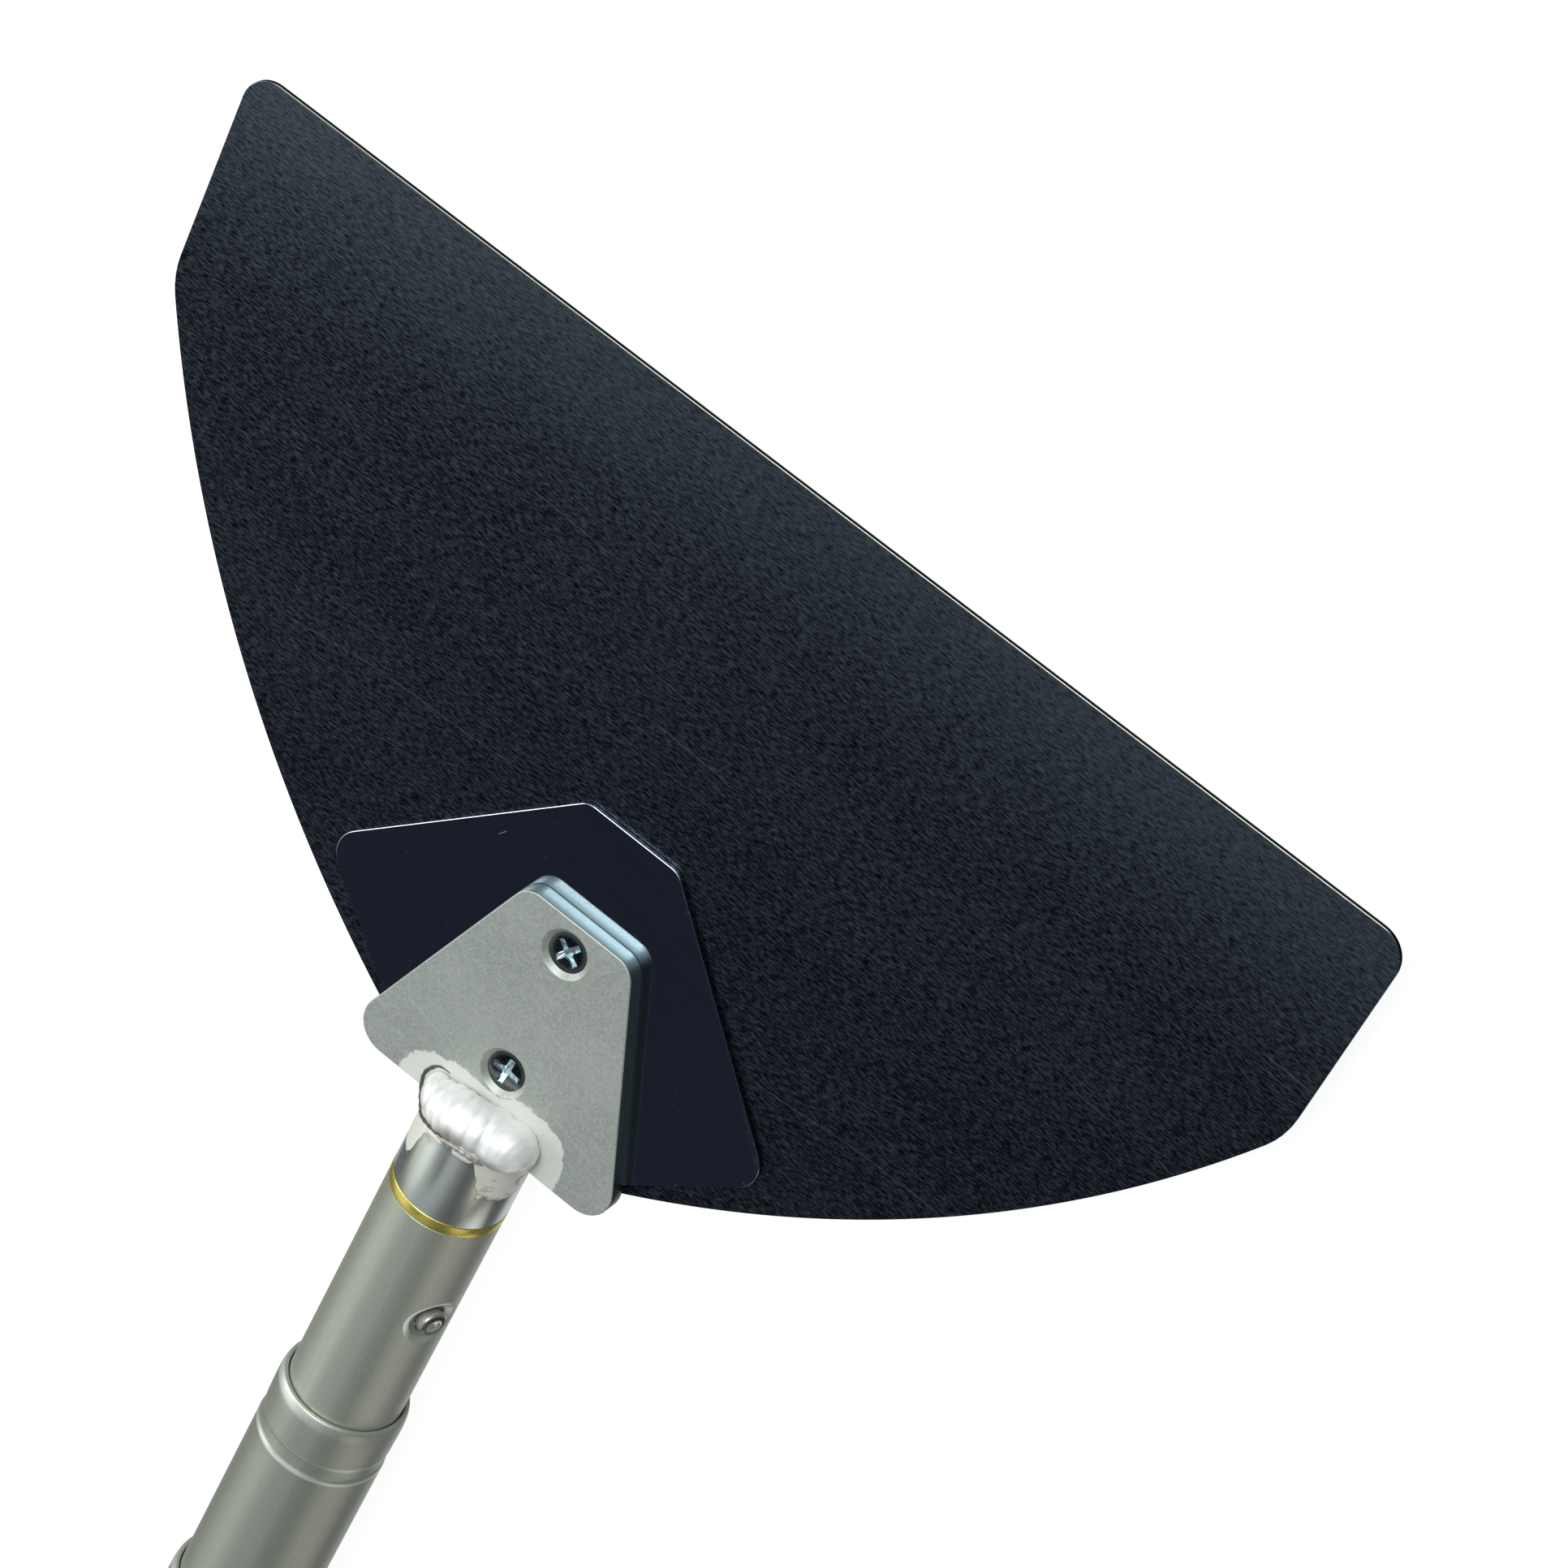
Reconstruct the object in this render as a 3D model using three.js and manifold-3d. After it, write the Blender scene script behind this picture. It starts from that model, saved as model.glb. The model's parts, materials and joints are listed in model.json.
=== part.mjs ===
// Beach sand scraper: a fan-shaped sheet-metal blade bolted to a welded bracket, on a three-section
// telescopic aluminium pole with internal twist locks.
// Millimetres, +Z up. The pole runs along Y with the blade's straight front edge at the +Y end, the blade's
// upper face looks up, and the origin is under the middle of the tool as it lies collapsed on the ground.
// A "station" is a distance behind the blade's front edge, measured along the pole towards the grip.
import * as THREE from 'three';
import { mergeVertices } from 'three/addons/utils/BufferGeometryUtils.js';
import Module from 'manifold-3d';

const wasm = await Module();
wasm.setup();

// ---- driving dimensions -------------------------------------------------------------------------------

const TOOL_LENGTH = 905;
const POLE_AXIS_ABOVE_BLADE = 1.7;

// sheet and plate stack, from the blade's upper face
const BLADE_THICKNESS = 1;
const STIFFENER_THICKNESS = 1;
const BRACKET_THICKNESS = 4;
const SHEET_EDGE_BREAK = 0.125;
const PLATE_EDGE_BREAK = 0.25;

// blade outline
const BLADE_HALF_WIDTH = 134.4;
const BLADE_FRONT_CORNER_RADIUS = 6.5;
const BLADE_SHOULDER = { halfWidth: 133.5, station: 48.5, blend: 4.5 };
const BLADE_SIDE_RADIUS = 277.7;
const TAIL = { halfWidth: 29.6, station: 157.8, cornerRadius: 2 };

// stiffener and bracket outlines: half-width, station and corner radius of each corner
const STIFFENER_CORNERS = [
  { halfWidth: 11.1, station: 85.6, radius: 4 },
  { halfWidth: 56.2, station: 132, radius: 6.5 },
  { halfWidth: 26.6, station: TAIL.station, radius: 2 },
];
const BRACKET_CORNERS = [
  { halfWidth: 13.1, station: 107.3, radius: 5 },
  { halfWidth: 34.5, station: 163.5, radius: 6.5 },
];

// M5 countersunk screws with washers and lock nuts
const SCREW_STATIONS = { front: 114.8, rear: 147.6 };
const SCREW_TURN_DEGREES = { front: 56, rear: -4 };
const SCREW_HOLE_RADIUS = 2.75;
const COUNTERSINK_RADIUS = 5.6;
const SCREW_HEAD_RADIUS = 4.55;
const SCREW_SHANK_RADIUS = 2.4;
const SCREW_HEAD_SINK = 0.9;
const RECESS = { span: 4.6, width: 1.05, depth: 1.9 };
const WASHER = { outer: 5, inner: 2.75, thickness: 1 };
const NUT = { acrossFlats: 8, bore: 2.65, thickness: 4.7 };
const SCREW_TIP_PAST_NUT = 0.9;

// head end of the pole
const NECK = { face: 160, shoulder: 180.9, spigotEnd: 236, radius: 12.5, spigotRadius: 10.9 };
const NECK_BORE = { radius: 8.5, start: 192 };
const NECK_CHAMFER = 0.6;
const SLOT_CLEARANCE = 0.3;
const RING = { width: 2.7, innerRadius: 11.15 };
const WELD_GAP = 0.3;

// the three tubes, from the head to the grip
const TOP_TUBE = { start: NECK.shoulder + RING.width, end: 735, radius: 12.5, bore: 11.1 };
const MIDDLE_TUBE = { start: 241.9, end: 812, radius: 14.15, bore: 12.85 };
const BOTTOM_TUBE = { start: 306.6, end: 893, radius: 15.8, bore: 14.5 };

// the swaged mouth of the middle and bottom tubes: distances behind its lip, and steps from the radius
const COLLAR = { lipEnd: 0.2, lipBack: 0.6, boreFrom: 1, crownAt: 2.4, waistAt: 9.2, grooveAt: 12.5, length: 15.4 };
const COLLAR_STEP = { lip: -0.25, crown: 0.04, waist: -0.08, groove: -0.26 };
const COLLAR_LIP_WALL = 0.5;
const GUIDE_CLEARANCE = 0.15;
const LIP_CLEARANCE = 0.3;

// snap button
const BUTTON_STATION = 209.4;
const BUTTON_TILT = THREE.MathUtils.degToRad(23);
const BUTTON = { radius: 3, flatRadius: 1.8, flangeRadius: 4.3, flangeThickness: 1, tip: 13.3, dome: 0.7 };
const BUTTON_SEAT = 5;
const BUTTON_HOLE_RADIUS = 3.3;
const DISH = { mouthRadius: 5.4, depth: 1 };
const CLIP = { thickness: 0.6, width: 6, bendRadius: 1.5, bendSteps: 6, buttonGap: 0.3, wallGap: 0.9 };
const CLIP_REACH = { ahead: 7, knee: 6, behind: 20 };

// grip and end cap
const GRIP = { start: 632, end: BOTTOM_TUBE.end, radius: 17.5, boreGap: 0.1, rounding: 3, roundingDepth: 0.9 };
const GRIP_END_FACE = 0.3;
const CAP = { flange: 12, plugDepth: 20, plugGap: 0.2, rounding: 3, roundingShoulder: 0.9 };

// round pieces are lathed with this many sides
const TUBE_SIDES = 40;
const INNER_SIDES = 24;
const PUDDLE_SIDES = { around: 10, along: 7 };
const BLADE_CURVE_SEGMENTS = 14;
const CORNER_SEGMENTS = 6;

// ---- derived levels -----------------------------------------------------------------------------------

const STIFFENER_TOP = STIFFENER_THICKNESS;
const BRACKET_TOP = STIFFENER_TOP + BRACKET_THICKNESS;
const BLADE_UNDERSIDE = -BLADE_THICKNESS;
const CUT_OVER = 5;

// ---- colours ------------------------------------------------------------------------------------------

const FINISH = {
  darkSteel: { color: 0x11171f, roughness: 0.32, metalness: 0.9 },
  darkPlate: { color: 0x0a0f18, roughness: 0.12, metalness: 0.9 },
  plateAluminium: { color: 0xa4a8a0, roughness: 0.45, metalness: 0.9 },
  polishedAluminium: { color: 0xb4b8b6, roughness: 0.2, metalness: 1 },
  tubeAluminium: { color: 0x8d9086, roughness: 0.5, metalness: 0.9 },
  weldMetal: { color: 0xe2e2de, roughness: 0.3, metalness: 0.9 },
  brass: { color: 0xb3a03c, roughness: 0.3, metalness: 1 },
  screwSteel: { color: 0x3c4446, roughness: 0.2, metalness: 1 },
  springSteel: { color: 0x8b8f92, roughness: 0.3, metalness: 1 },
  lockPlastic: { color: 0x1b1c1e, roughness: 0.5, metalness: 0 },
  gripFoam: { color: 0x151617, roughness: 0.85, metalness: 0 },
  capRubber: { color: 0x17181a, roughness: 0.7, metalness: 0 },
};

// ---- building blocks ----------------------------------------------------------------------------------

const tool = new THREE.Group();
tool.position.set(0, TOOL_LENGTH / 2, GRIP.radius - POLE_AXIS_ABOVE_BLADE);

const pole = new THREE.Group();
pole.position.z = POLE_AXIS_ABOVE_BLADE;
tool.add(pole);

function add(group, name, geometry, finish) {
  const mesh = new THREE.Mesh(geometry, new THREE.MeshStandardMaterial(finish));
  mesh.name = name;
  group.add(mesh);
  return mesh;
}

function solidOf(geometry) {
  const bare = geometry.clone();
  bare.deleteAttribute('normal');
  bare.deleteAttribute('uv');
  const merged = mergeVertices(bare, 1e-4);
  return new wasm.Manifold(
    new wasm.Mesh({
      numProp: 3,
      vertProperties: merged.attributes.position.array,
      triVerts: new Uint32Array(merged.index.array),
    }),
  );
}

function geometryOf(solid) {
  const mesh = solid.getMesh();
  const geometry = new THREE.BufferGeometry();
  geometry.setAttribute('position', new THREE.BufferAttribute(mesh.vertProperties, 3));
  geometry.setIndex(new THREE.BufferAttribute(mesh.triVerts, 1));
  geometry.computeVertexNormals();
  return geometry;
}

function cut(geometry, ...cutters) {
  let solid = solidOf(geometry);
  for (const cutter of cutters) solid = solid.subtract(solidOf(cutter));
  return geometryOf(solid);
}

function join(first, ...others) {
  let solid = solidOf(first);
  for (const other of others) solid = solid.add(solidOf(other));
  return geometryOf(solid);
}

// A box given by its lowest and highest corner.
function boxBetween(low, high) {
  const size = high.map((value, axis) => value - low[axis]);
  const box = new THREE.BoxGeometry(...size);
  box.translate(...low.map((value, axis) => value + size[axis] / 2));
  return box;
}

// A body of revolution about the pole, from [radius, station] points listed so that the outside of the
// piece runs towards the head.
function turned(profile, sides = TUBE_SIDES) {
  const points = profile.map(([radius, station]) => new THREE.Vector2(radius, -station));
  return new THREE.LatheGeometry(points, sides);
}

// A closed ring profile: it ends where it starts.
function turnedRing(profile, sides = TUBE_SIDES) {
  return turned([...profile, profile[0]], sides);
}

// A body of revolution about Z, from [radius, height] points listed from the bottom to the top.
function turnedUpright(profile, sides = INNER_SIDES) {
  const points = profile.map(([radius, height]) => new THREE.Vector2(radius, height));
  const geometry = new THREE.LatheGeometry(points, sides);
  geometry.rotateX(Math.PI / 2);
  return geometry;
}

// A body of revolution about the snap button's axis, from [radius, distance from the pole's axis] points.
function turnedAcross(profile, sides = INNER_SIDES) {
  const points = profile.map(([radius, distance]) => new THREE.Vector2(radius, distance));
  const geometry = new THREE.LatheGeometry(points, sides);
  geometry.rotateZ(-Math.PI / 2);
  geometry.rotateY(-BUTTON_TILT);
  geometry.translate(0, -BUTTON_STATION, 0);
  return geometry;
}

// Rounds the corner of a path at `corner`, coming from `before` and leaving for `after`.
function roundCorner(shape, before, corner, after, radius) {
  const arriving = corner.clone().sub(before).normalize();
  const leaving = after.clone().sub(corner).normalize();
  const turn = arriving.angleTo(leaving);
  const tangent = radius * Math.tan(turn / 2);
  const start = corner.clone().addScaledVector(arriving, -tangent);
  const clockwise = arriving.cross(leaving) < 0;
  const side = new THREE.Vector2(-arriving.y, arriving.x).multiplyScalar(clockwise ? -1 : 1);
  const centre = start.clone().addScaledVector(side, radius);
  const startAngle = Math.atan2(start.y - centre.y, start.x - centre.x);
  const endAngle = startAngle + (clockwise ? -turn : turn);
  shape.lineTo(start.x, start.y);
  shape.absarc(centre.x, centre.y, radius, startAngle, endAngle, clockwise);
}

// A plate outline symmetrical about the pole, from the corners of its right half, front to rear.
function mirroredOutline(corners) {
  const right = corners.map((c) => ({ at: new THREE.Vector2(c.halfWidth, -c.station), radius: c.radius }));
  const left = corners.map((c) => ({ at: new THREE.Vector2(-c.halfWidth, -c.station), radius: c.radius }));
  const loop = [...right, ...left.reverse()];
  const shape = new THREE.Shape();
  const first = loop.at(-1).at.clone().lerp(loop[0].at, 0.5);
  shape.moveTo(first.x, first.y);
  loop.forEach((corner, i) => {
    const before = loop.at(i - 1).at;
    const after = loop[(i + 1) % loop.length].at;
    roundCorner(shape, before, corner.at, after, corner.radius);
  });
  shape.lineTo(first.x, first.y);
  return shape;
}

// A sheet from `bottom` upwards with its edges broken all round by a small chamfer.
function sheet(shape, bottom, thickness, edgeBreak, curveSegments) {
  const geometry = new THREE.ExtrudeGeometry(shape, {
    depth: thickness - 2 * edgeBreak,
    bevelEnabled: true,
    bevelThickness: edgeBreak,
    bevelSize: edgeBreak,
    bevelOffset: -edgeBreak,
    bevelSegments: 1,
    curveSegments,
  });
  geometry.translate(0, 0, bottom + edgeBreak);
  return geometry;
}

// ---- blade, stiffener and bracket ---------------------------------------------------------------------

// Centre of the arc of the given radius that runs from `start` to `end`, on the side away from the rim.
function arcCentre(start, end, radius) {
  const middle = start.clone().add(end).multiplyScalar(0.5);
  const chord = end.clone().sub(start);
  const rise = Math.sqrt(radius ** 2 - chord.lengthSq() / 4);
  const inward = new THREE.Vector2(chord.y, -chord.x).normalize();
  return middle.addScaledVector(inward, rise);
}

function bladeOutline() {
  const corner = new THREE.Vector2(BLADE_HALF_WIDTH, 0);
  const shoulder = new THREE.Vector2(BLADE_SHOULDER.halfWidth, -BLADE_SHOULDER.station);
  const tail = new THREE.Vector2(TAIL.halfWidth, -TAIL.station);
  const centre = arcCentre(shoulder, tail, BLADE_SIDE_RADIUS);
  const angleAt = (point) => Math.atan2(point.y - centre.y, point.x - centre.x);
  const blendAngle = BLADE_SHOULDER.blend / BLADE_SIDE_RADIUS;
  const arcStart = angleAt(shoulder) - blendAngle;
  const arcEnd = angleAt(tail);
  const onArc = (angle) => new THREE.Vector2(
    centre.x + BLADE_SIDE_RADIUS * Math.cos(angle),
    centre.y + BLADE_SIDE_RADIUS * Math.sin(angle),
  );
  const mirrored = (point) => new THREE.Vector2(-point.x, point.y);
  const blendStart = shoulder.clone().lerp(corner, BLADE_SHOULDER.blend / BLADE_SHOULDER.station);

  const shape = new THREE.Shape();
  shape.moveTo(0, 0);
  roundCorner(shape, new THREE.Vector2(0, 0), corner, shoulder, BLADE_FRONT_CORNER_RADIUS);
  shape.lineTo(blendStart.x, blendStart.y);
  shape.quadraticCurveTo(shoulder.x, shoulder.y, onArc(arcStart).x, onArc(arcStart).y);
  shape.absarc(centre.x, centre.y, BLADE_SIDE_RADIUS, arcStart, arcEnd, true);
  shape.lineTo(-tail.x, tail.y);
  shape.absarc(-centre.x, centre.y, BLADE_SIDE_RADIUS, Math.PI - arcEnd, Math.PI - arcStart, true);
  shape.quadraticCurveTo(-shoulder.x, shoulder.y, -blendStart.x, blendStart.y);
  const frontMiddle = new THREE.Vector2(0, 0);
  roundCorner(shape, mirrored(shoulder), mirrored(corner), frontMiddle, BLADE_FRONT_CORNER_RADIUS);
  shape.lineTo(0, 0);
  return shape;
}

function atScrews(make) {
  return Object.values(SCREW_STATIONS).map((station) => make().translate(0, -station, 0));
}

function throughHole() {
  const reach = BRACKET_TOP + CUT_OVER;
  return turnedUpright([[0, -reach], [SCREW_HOLE_RADIUS, -reach], [SCREW_HOLE_RADIUS, reach], [0, reach]]);
}

function countersunkHole() {
  const coneBottom = BRACKET_TOP - (COUNTERSINK_RADIUS - SCREW_HOLE_RADIUS);
  return turnedUpright([
    [0, -CUT_OVER],
    [SCREW_HOLE_RADIUS, -CUT_OVER],
    [SCREW_HOLE_RADIUS, coneBottom],
    [COUNTERSINK_RADIUS + CUT_OVER, BRACKET_TOP + CUT_OVER],
    [0, BRACKET_TOP + CUT_OVER],
  ], TUBE_SIDES);
}

const blade = sheet(
  bladeOutline(), BLADE_UNDERSIDE, BLADE_THICKNESS, SHEET_EDGE_BREAK, BLADE_CURVE_SEGMENTS,
);
add(tool, 'blade', cut(blade, ...atScrews(throughHole)), FINISH.darkSteel);

const stiffener = sheet(
  mirroredOutline(STIFFENER_CORNERS), 0, STIFFENER_THICKNESS, SHEET_EDGE_BREAK, CORNER_SEGMENTS,
);
add(tool, 'stiffener_plate', cut(stiffener, ...atScrews(throughHole)), FINISH.darkPlate);

const bracket = sheet(
  mirroredOutline(BRACKET_CORNERS), STIFFENER_TOP, BRACKET_THICKNESS, PLATE_EDGE_BREAK, CORNER_SEGMENTS,
);
add(tool, 'bracket_plate', cut(bracket, ...atScrews(countersunkHole)), FINISH.plateAluminium);

// ---- screws, washers and nuts -------------------------------------------------------------------------

const WASHER_BOTTOM = BLADE_UNDERSIDE - WASHER.thickness;
const NUT_BOTTOM = WASHER_BOTTOM - NUT.thickness;

function countersunkScrew(turnDegrees) {
  const headTop = BRACKET_TOP - SCREW_HEAD_SINK;
  const headBottom = headTop - (SCREW_HEAD_RADIUS - SCREW_SHANK_RADIUS);
  const tip = NUT_BOTTOM - SCREW_TIP_PAST_NUT;
  const body = turnedUpright([
    [0, tip],
    [SCREW_SHANK_RADIUS, tip],
    [SCREW_SHANK_RADIUS, headBottom],
    [SCREW_HEAD_RADIUS, headTop],
    [0, headTop],
  ]);
  const half = RECESS.span / 2;
  const low = headTop - RECESS.depth;
  const high = headTop + CUT_OVER;
  const along = boxBetween([-half, -RECESS.width / 2, low], [half, RECESS.width / 2, high]);
  along.rotateZ(-THREE.MathUtils.degToRad(turnDegrees));
  const across = along.clone().rotateZ(Math.PI / 2);
  return cut(body, along, across);
}

function washer() {
  return turnedUpright([
    [WASHER.inner, WASHER_BOTTOM],
    [WASHER.outer, WASHER_BOTTOM],
    [WASHER.outer, BLADE_UNDERSIDE],
    [WASHER.inner, BLADE_UNDERSIDE],
    [WASHER.inner, WASHER_BOTTOM],
  ]);
}

// A hexagonal nut standing on Z, centred on the origin.
function hexNut({ acrossFlats, bore, thickness }) {
  const cornerRadius = acrossFlats / Math.sqrt(3);
  const body = new THREE.CylinderGeometry(cornerRadius, cornerRadius, thickness, 6);
  body.rotateX(Math.PI / 2);
  const hole = turnedUpright([[0, -thickness], [bore, -thickness], [bore, thickness], [0, thickness]]);
  return cut(body, hole);
}

for (const [place, station] of Object.entries(SCREW_STATIONS)) {
  const screw = countersunkScrew(SCREW_TURN_DEGREES[place]);
  add(tool, `${place}_screw`, screw, FINISH.screwSteel).position.y = -station;
  add(tool, `${place}_washer`, washer(), FINISH.springSteel).position.y = -station;
  const nut = hexNut(NUT).translate(0, -station, WASHER_BOTTOM - NUT.thickness / 2);
  add(tool, `${place}_lock_nut`, nut, FINISH.springSteel);
}

// ---- neck, ring and welds -----------------------------------------------------------------------------

function dishCutter(tubeRadius) {
  return turnedAcross([
    [0, 0],
    [BUTTON_HOLE_RADIUS, 0],
    [BUTTON_HOLE_RADIUS, tubeRadius - DISH.depth],
    [DISH.mouthRadius, tubeRadius],
    [DISH.mouthRadius, tubeRadius + CUT_OVER],
    [0, tubeRadius + CUT_OVER],
  ]);
}

function neck() {
  const body = turnedRing([
    [NECK_BORE.radius, NECK.spigotEnd],
    [NECK.spigotRadius - NECK_CHAMFER, NECK.spigotEnd],
    [NECK.spigotRadius, NECK.spigotEnd - NECK_CHAMFER],
    [NECK.spigotRadius, NECK.shoulder],
    [NECK.radius, NECK.shoulder],
    [NECK.radius, NECK.face + NECK_CHAMFER],
    [NECK.radius - NECK_CHAMFER, NECK.face],
    [0, NECK.face],
    [0, NECK_BORE.start],
    [NECK_BORE.radius, NECK_BORE.start],
  ]);
  const slotBottom = STIFFENER_TOP - SLOT_CLEARANCE - POLE_AXIS_ABOVE_BLADE;
  const slotTop = BRACKET_TOP + SLOT_CLEARANCE - POLE_AXIS_ABOVE_BLADE;
  const slotEnd = BRACKET_CORNERS.at(-1).station + SLOT_CLEARANCE;
  const slot = boxBetween(
    [-NECK.radius - CUT_OVER, -slotEnd, slotBottom],
    [NECK.radius + CUT_OVER, -NECK.face + CUT_OVER, slotTop],
  );
  return cut(body, slot, dishCutter(NECK.radius));
}
add(pole, 'neck', neck(), FINISH.polishedAluminium);

add(pole, 'brass_ring', turnedRing([
  [RING.innerRadius, TOP_TUBE.start],
  [NECK.radius, TOP_TUBE.start],
  [NECK.radius, NECK.shoulder],
  [RING.innerRadius, NECK.shoulder],
]), FINISH.brass);

// The upper weld is a row of overlapping puddles on the corner between the bracket and the neck's face.
// It grows from the left to the right and ends in a large puddle that hangs over the neck's side.
const PUDDLES = 7;
const UPPER_WELD = { left: -11, right: 11.5, smallest: 2.6, largest: 5.2, lastPuddle: 1.15 };
// where a puddle's centre sits, as shares of its radius
const PUDDLE_SEAT = { behindFace: 0.3, belowArch: 0.75, aboveBracket: 0.4 };

function puddle(index) {
  const share = index / (PUDDLES - 1);
  const x = THREE.MathUtils.lerp(UPPER_WELD.left, UPPER_WELD.right, share);
  const arch = Math.sqrt(1 - (x / (NECK.radius + 1)) ** 2);
  const size = THREE.MathUtils.lerp(UPPER_WELD.smallest, UPPER_WELD.largest, arch);
  const radius = share === 1 ? size * UPPER_WELD.lastPuddle : size;
  const onArch = POLE_AXIS_ABOVE_BLADE + NECK.radius * arch - PUDDLE_SEAT.belowArch * radius;
  const onBracket = BRACKET_TOP + PUDDLE_SEAT.aboveBracket * radius;
  const sphere = new THREE.SphereGeometry(radius, PUDDLE_SIDES.around, PUDDLE_SIDES.along);
  sphere.translate(x, -NECK.face + PUDDLE_SEAT.behindFace * radius, Math.max(onArch, onBracket));
  return sphere;
}

function neckWithGap() {
  const radius = NECK.radius + WELD_GAP;
  const face = NECK.face - WELD_GAP;
  const end = NECK.spigotEnd;
  const geometry = turned([[0, end], [radius, end], [radius, face], [0, face]]);
  return geometry.translate(0, 0, POLE_AXIS_ABOVE_BLADE);
}

function upperWeld() {
  const puddles = Array.from({ length: PUDDLES }, (_, index) => puddle(index));
  const reach = 2 * NECK.radius;
  const bracketWithGap = boxBetween(
    [-reach, -NECK.face - reach, -reach],
    [reach, -NECK.face + reach, BRACKET_TOP + WELD_GAP],
  );
  return cut(join(...puddles), neckWithGap(), bracketWithGap);
}
add(tool, 'upper_weld', upperWeld(), FINISH.weldMetal);

// The lower weld is a small fillet between the bracket's underside and the neck's face.
const LOWER_WELD = { halfLength: 10.5, leg: 1.4 };

function lowerWeld() {
  const { leg } = LOWER_WELD;
  const profile = new THREE.Shape();
  profile.moveTo(0, 0);
  profile.lineTo(0, leg);
  profile.lineTo(-leg, 0);
  profile.lineTo(0, 0);
  const geometry = new THREE.ExtrudeGeometry(profile, {
    depth: 2 * LOWER_WELD.halfLength, bevelEnabled: false,
  });
  geometry.rotateY(-Math.PI / 2);
  const rearOfFillet = -(NECK.face - WELD_GAP);
  return geometry.translate(LOWER_WELD.halfLength, rearOfFillet, STIFFENER_TOP - WELD_GAP);
}
add(tool, 'lower_weld', lowerWeld(), FINISH.weldMetal);

// ---- tubes --------------------------------------------------------------------------------------------

function topTube() {
  const { start, end, radius, bore } = TOP_TUBE;
  const body = turnedRing([[bore, end], [radius, end], [radius, start], [bore, start]]);
  return cut(body, dishCutter(radius));
}
add(pole, 'top_tube', topTube(), FINISH.tubeAluminium);

// A tube whose mouth is swaged into a collar: a rolled lip, a barrel and a shallow groove that guides the
// next tube. `clear` is the lip's inner radius and `guide` the groove's.
function collaredTube({ start, end, radius, bore }, clear, guide) {
  return turnedRing([
    [bore, end],
    [radius, end],
    [radius, start + COLLAR.length],
    [radius + COLLAR_STEP.groove, start + COLLAR.grooveAt],
    [radius + COLLAR_STEP.waist, start + COLLAR.waistAt],
    [radius + COLLAR_STEP.crown, start + COLLAR.crownAt],
    [radius + COLLAR_STEP.lip, start + COLLAR.lipBack],
    [clear + COLLAR_LIP_WALL, start],
    [clear, start + COLLAR.lipEnd],
    [bore, start + COLLAR.boreFrom],
    [bore, start + COLLAR.waistAt],
    [guide, start + COLLAR.grooveAt],
    [bore, start + COLLAR.length],
  ]);
}
add(pole, 'middle_tube', collaredTube(
  MIDDLE_TUBE, TOP_TUBE.radius + LIP_CLEARANCE, TOP_TUBE.radius + GUIDE_CLEARANCE,
), FINISH.tubeAluminium);
add(pole, 'bottom_tube', collaredTube(
  BOTTOM_TUBE, MIDDLE_TUBE.radius + LIP_CLEARANCE, MIDDLE_TUBE.radius + GUIDE_CLEARANCE,
), FINISH.tubeAluminium);

// ---- snap button and its spring clip ------------------------------------------------------------------

function snapButton() {
  const flangeTop = BUTTON_SEAT + BUTTON.flangeThickness;
  return turnedAcross([
    [0, BUTTON_SEAT],
    [BUTTON.flangeRadius, BUTTON_SEAT],
    [BUTTON.flangeRadius, flangeTop],
    [BUTTON.radius, flangeTop],
    [BUTTON.radius, BUTTON.tip - BUTTON.dome],
    [BUTTON.flatRadius, BUTTON.tip],
    [0, BUTTON.tip],
  ]);
}
add(pole, 'snap_button', snapButton(), FINISH.springSteel);

// The clip is a bent strip seen from the side: one leg under the button, a tight bend and one leg on the
// far wall.
function springClip() {
  const half = CLIP.thickness / 2;
  const upper = BUTTON_SEAT - CLIP.buttonGap - half;
  const lower = -(NECK_BORE.radius - CLIP.wallGap - half);
  const tip = -(BUTTON_STATION - CLIP_REACH.ahead);
  const knee = -(BUTTON_STATION + CLIP_REACH.knee);
  const bend = -(BUTTON_STATION + CLIP_REACH.behind);
  const { bendRadius } = CLIP;
  const line = new THREE.CurvePath();
  line.add(new THREE.LineCurve(new THREE.Vector2(upper, tip), new THREE.Vector2(upper, knee)));
  line.add(new THREE.LineCurve(new THREE.Vector2(upper, knee), new THREE.Vector2(bendRadius, bend)));
  line.add(new THREE.EllipseCurve(0, bend, bendRadius, bendRadius, 0, Math.PI, true));
  line.add(new THREE.LineCurve(new THREE.Vector2(-bendRadius, bend), new THREE.Vector2(lower, knee)));
  line.add(new THREE.LineCurve(new THREE.Vector2(lower, knee), new THREE.Vector2(lower, tip)));
  const spots = line.curves.flatMap((curve, i) => {
    const points = curve.getPoints(curve.isEllipseCurve ? CLIP.bendSteps : 1);
    return i === 0 ? points : points.slice(1);
  });
  const normals = spots.map((spot, i) => {
    const before = spots[Math.max(i - 1, 0)];
    const after = spots[Math.min(i + 1, spots.length - 1)];
    return new THREE.Vector2(before.y - after.y, after.x - before.x).normalize();
  });
  const offset = (distance) => spots.map((spot, i) => spot.clone().addScaledVector(normals[i], distance));
  const profile = new THREE.Shape([...offset(half), ...offset(-half).reverse()]);
  const geometry = new THREE.ExtrudeGeometry(profile, { depth: CLIP.width, bevelEnabled: false });
  geometry.translate(0, 0, -CLIP.width / 2);
  return geometry.rotateY(-BUTTON_TILT);
}
add(pole, 'button_spring_clip', springClip(), FINISH.springSteel);

// ---- twist locks --------------------------------------------------------------------------------------

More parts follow.
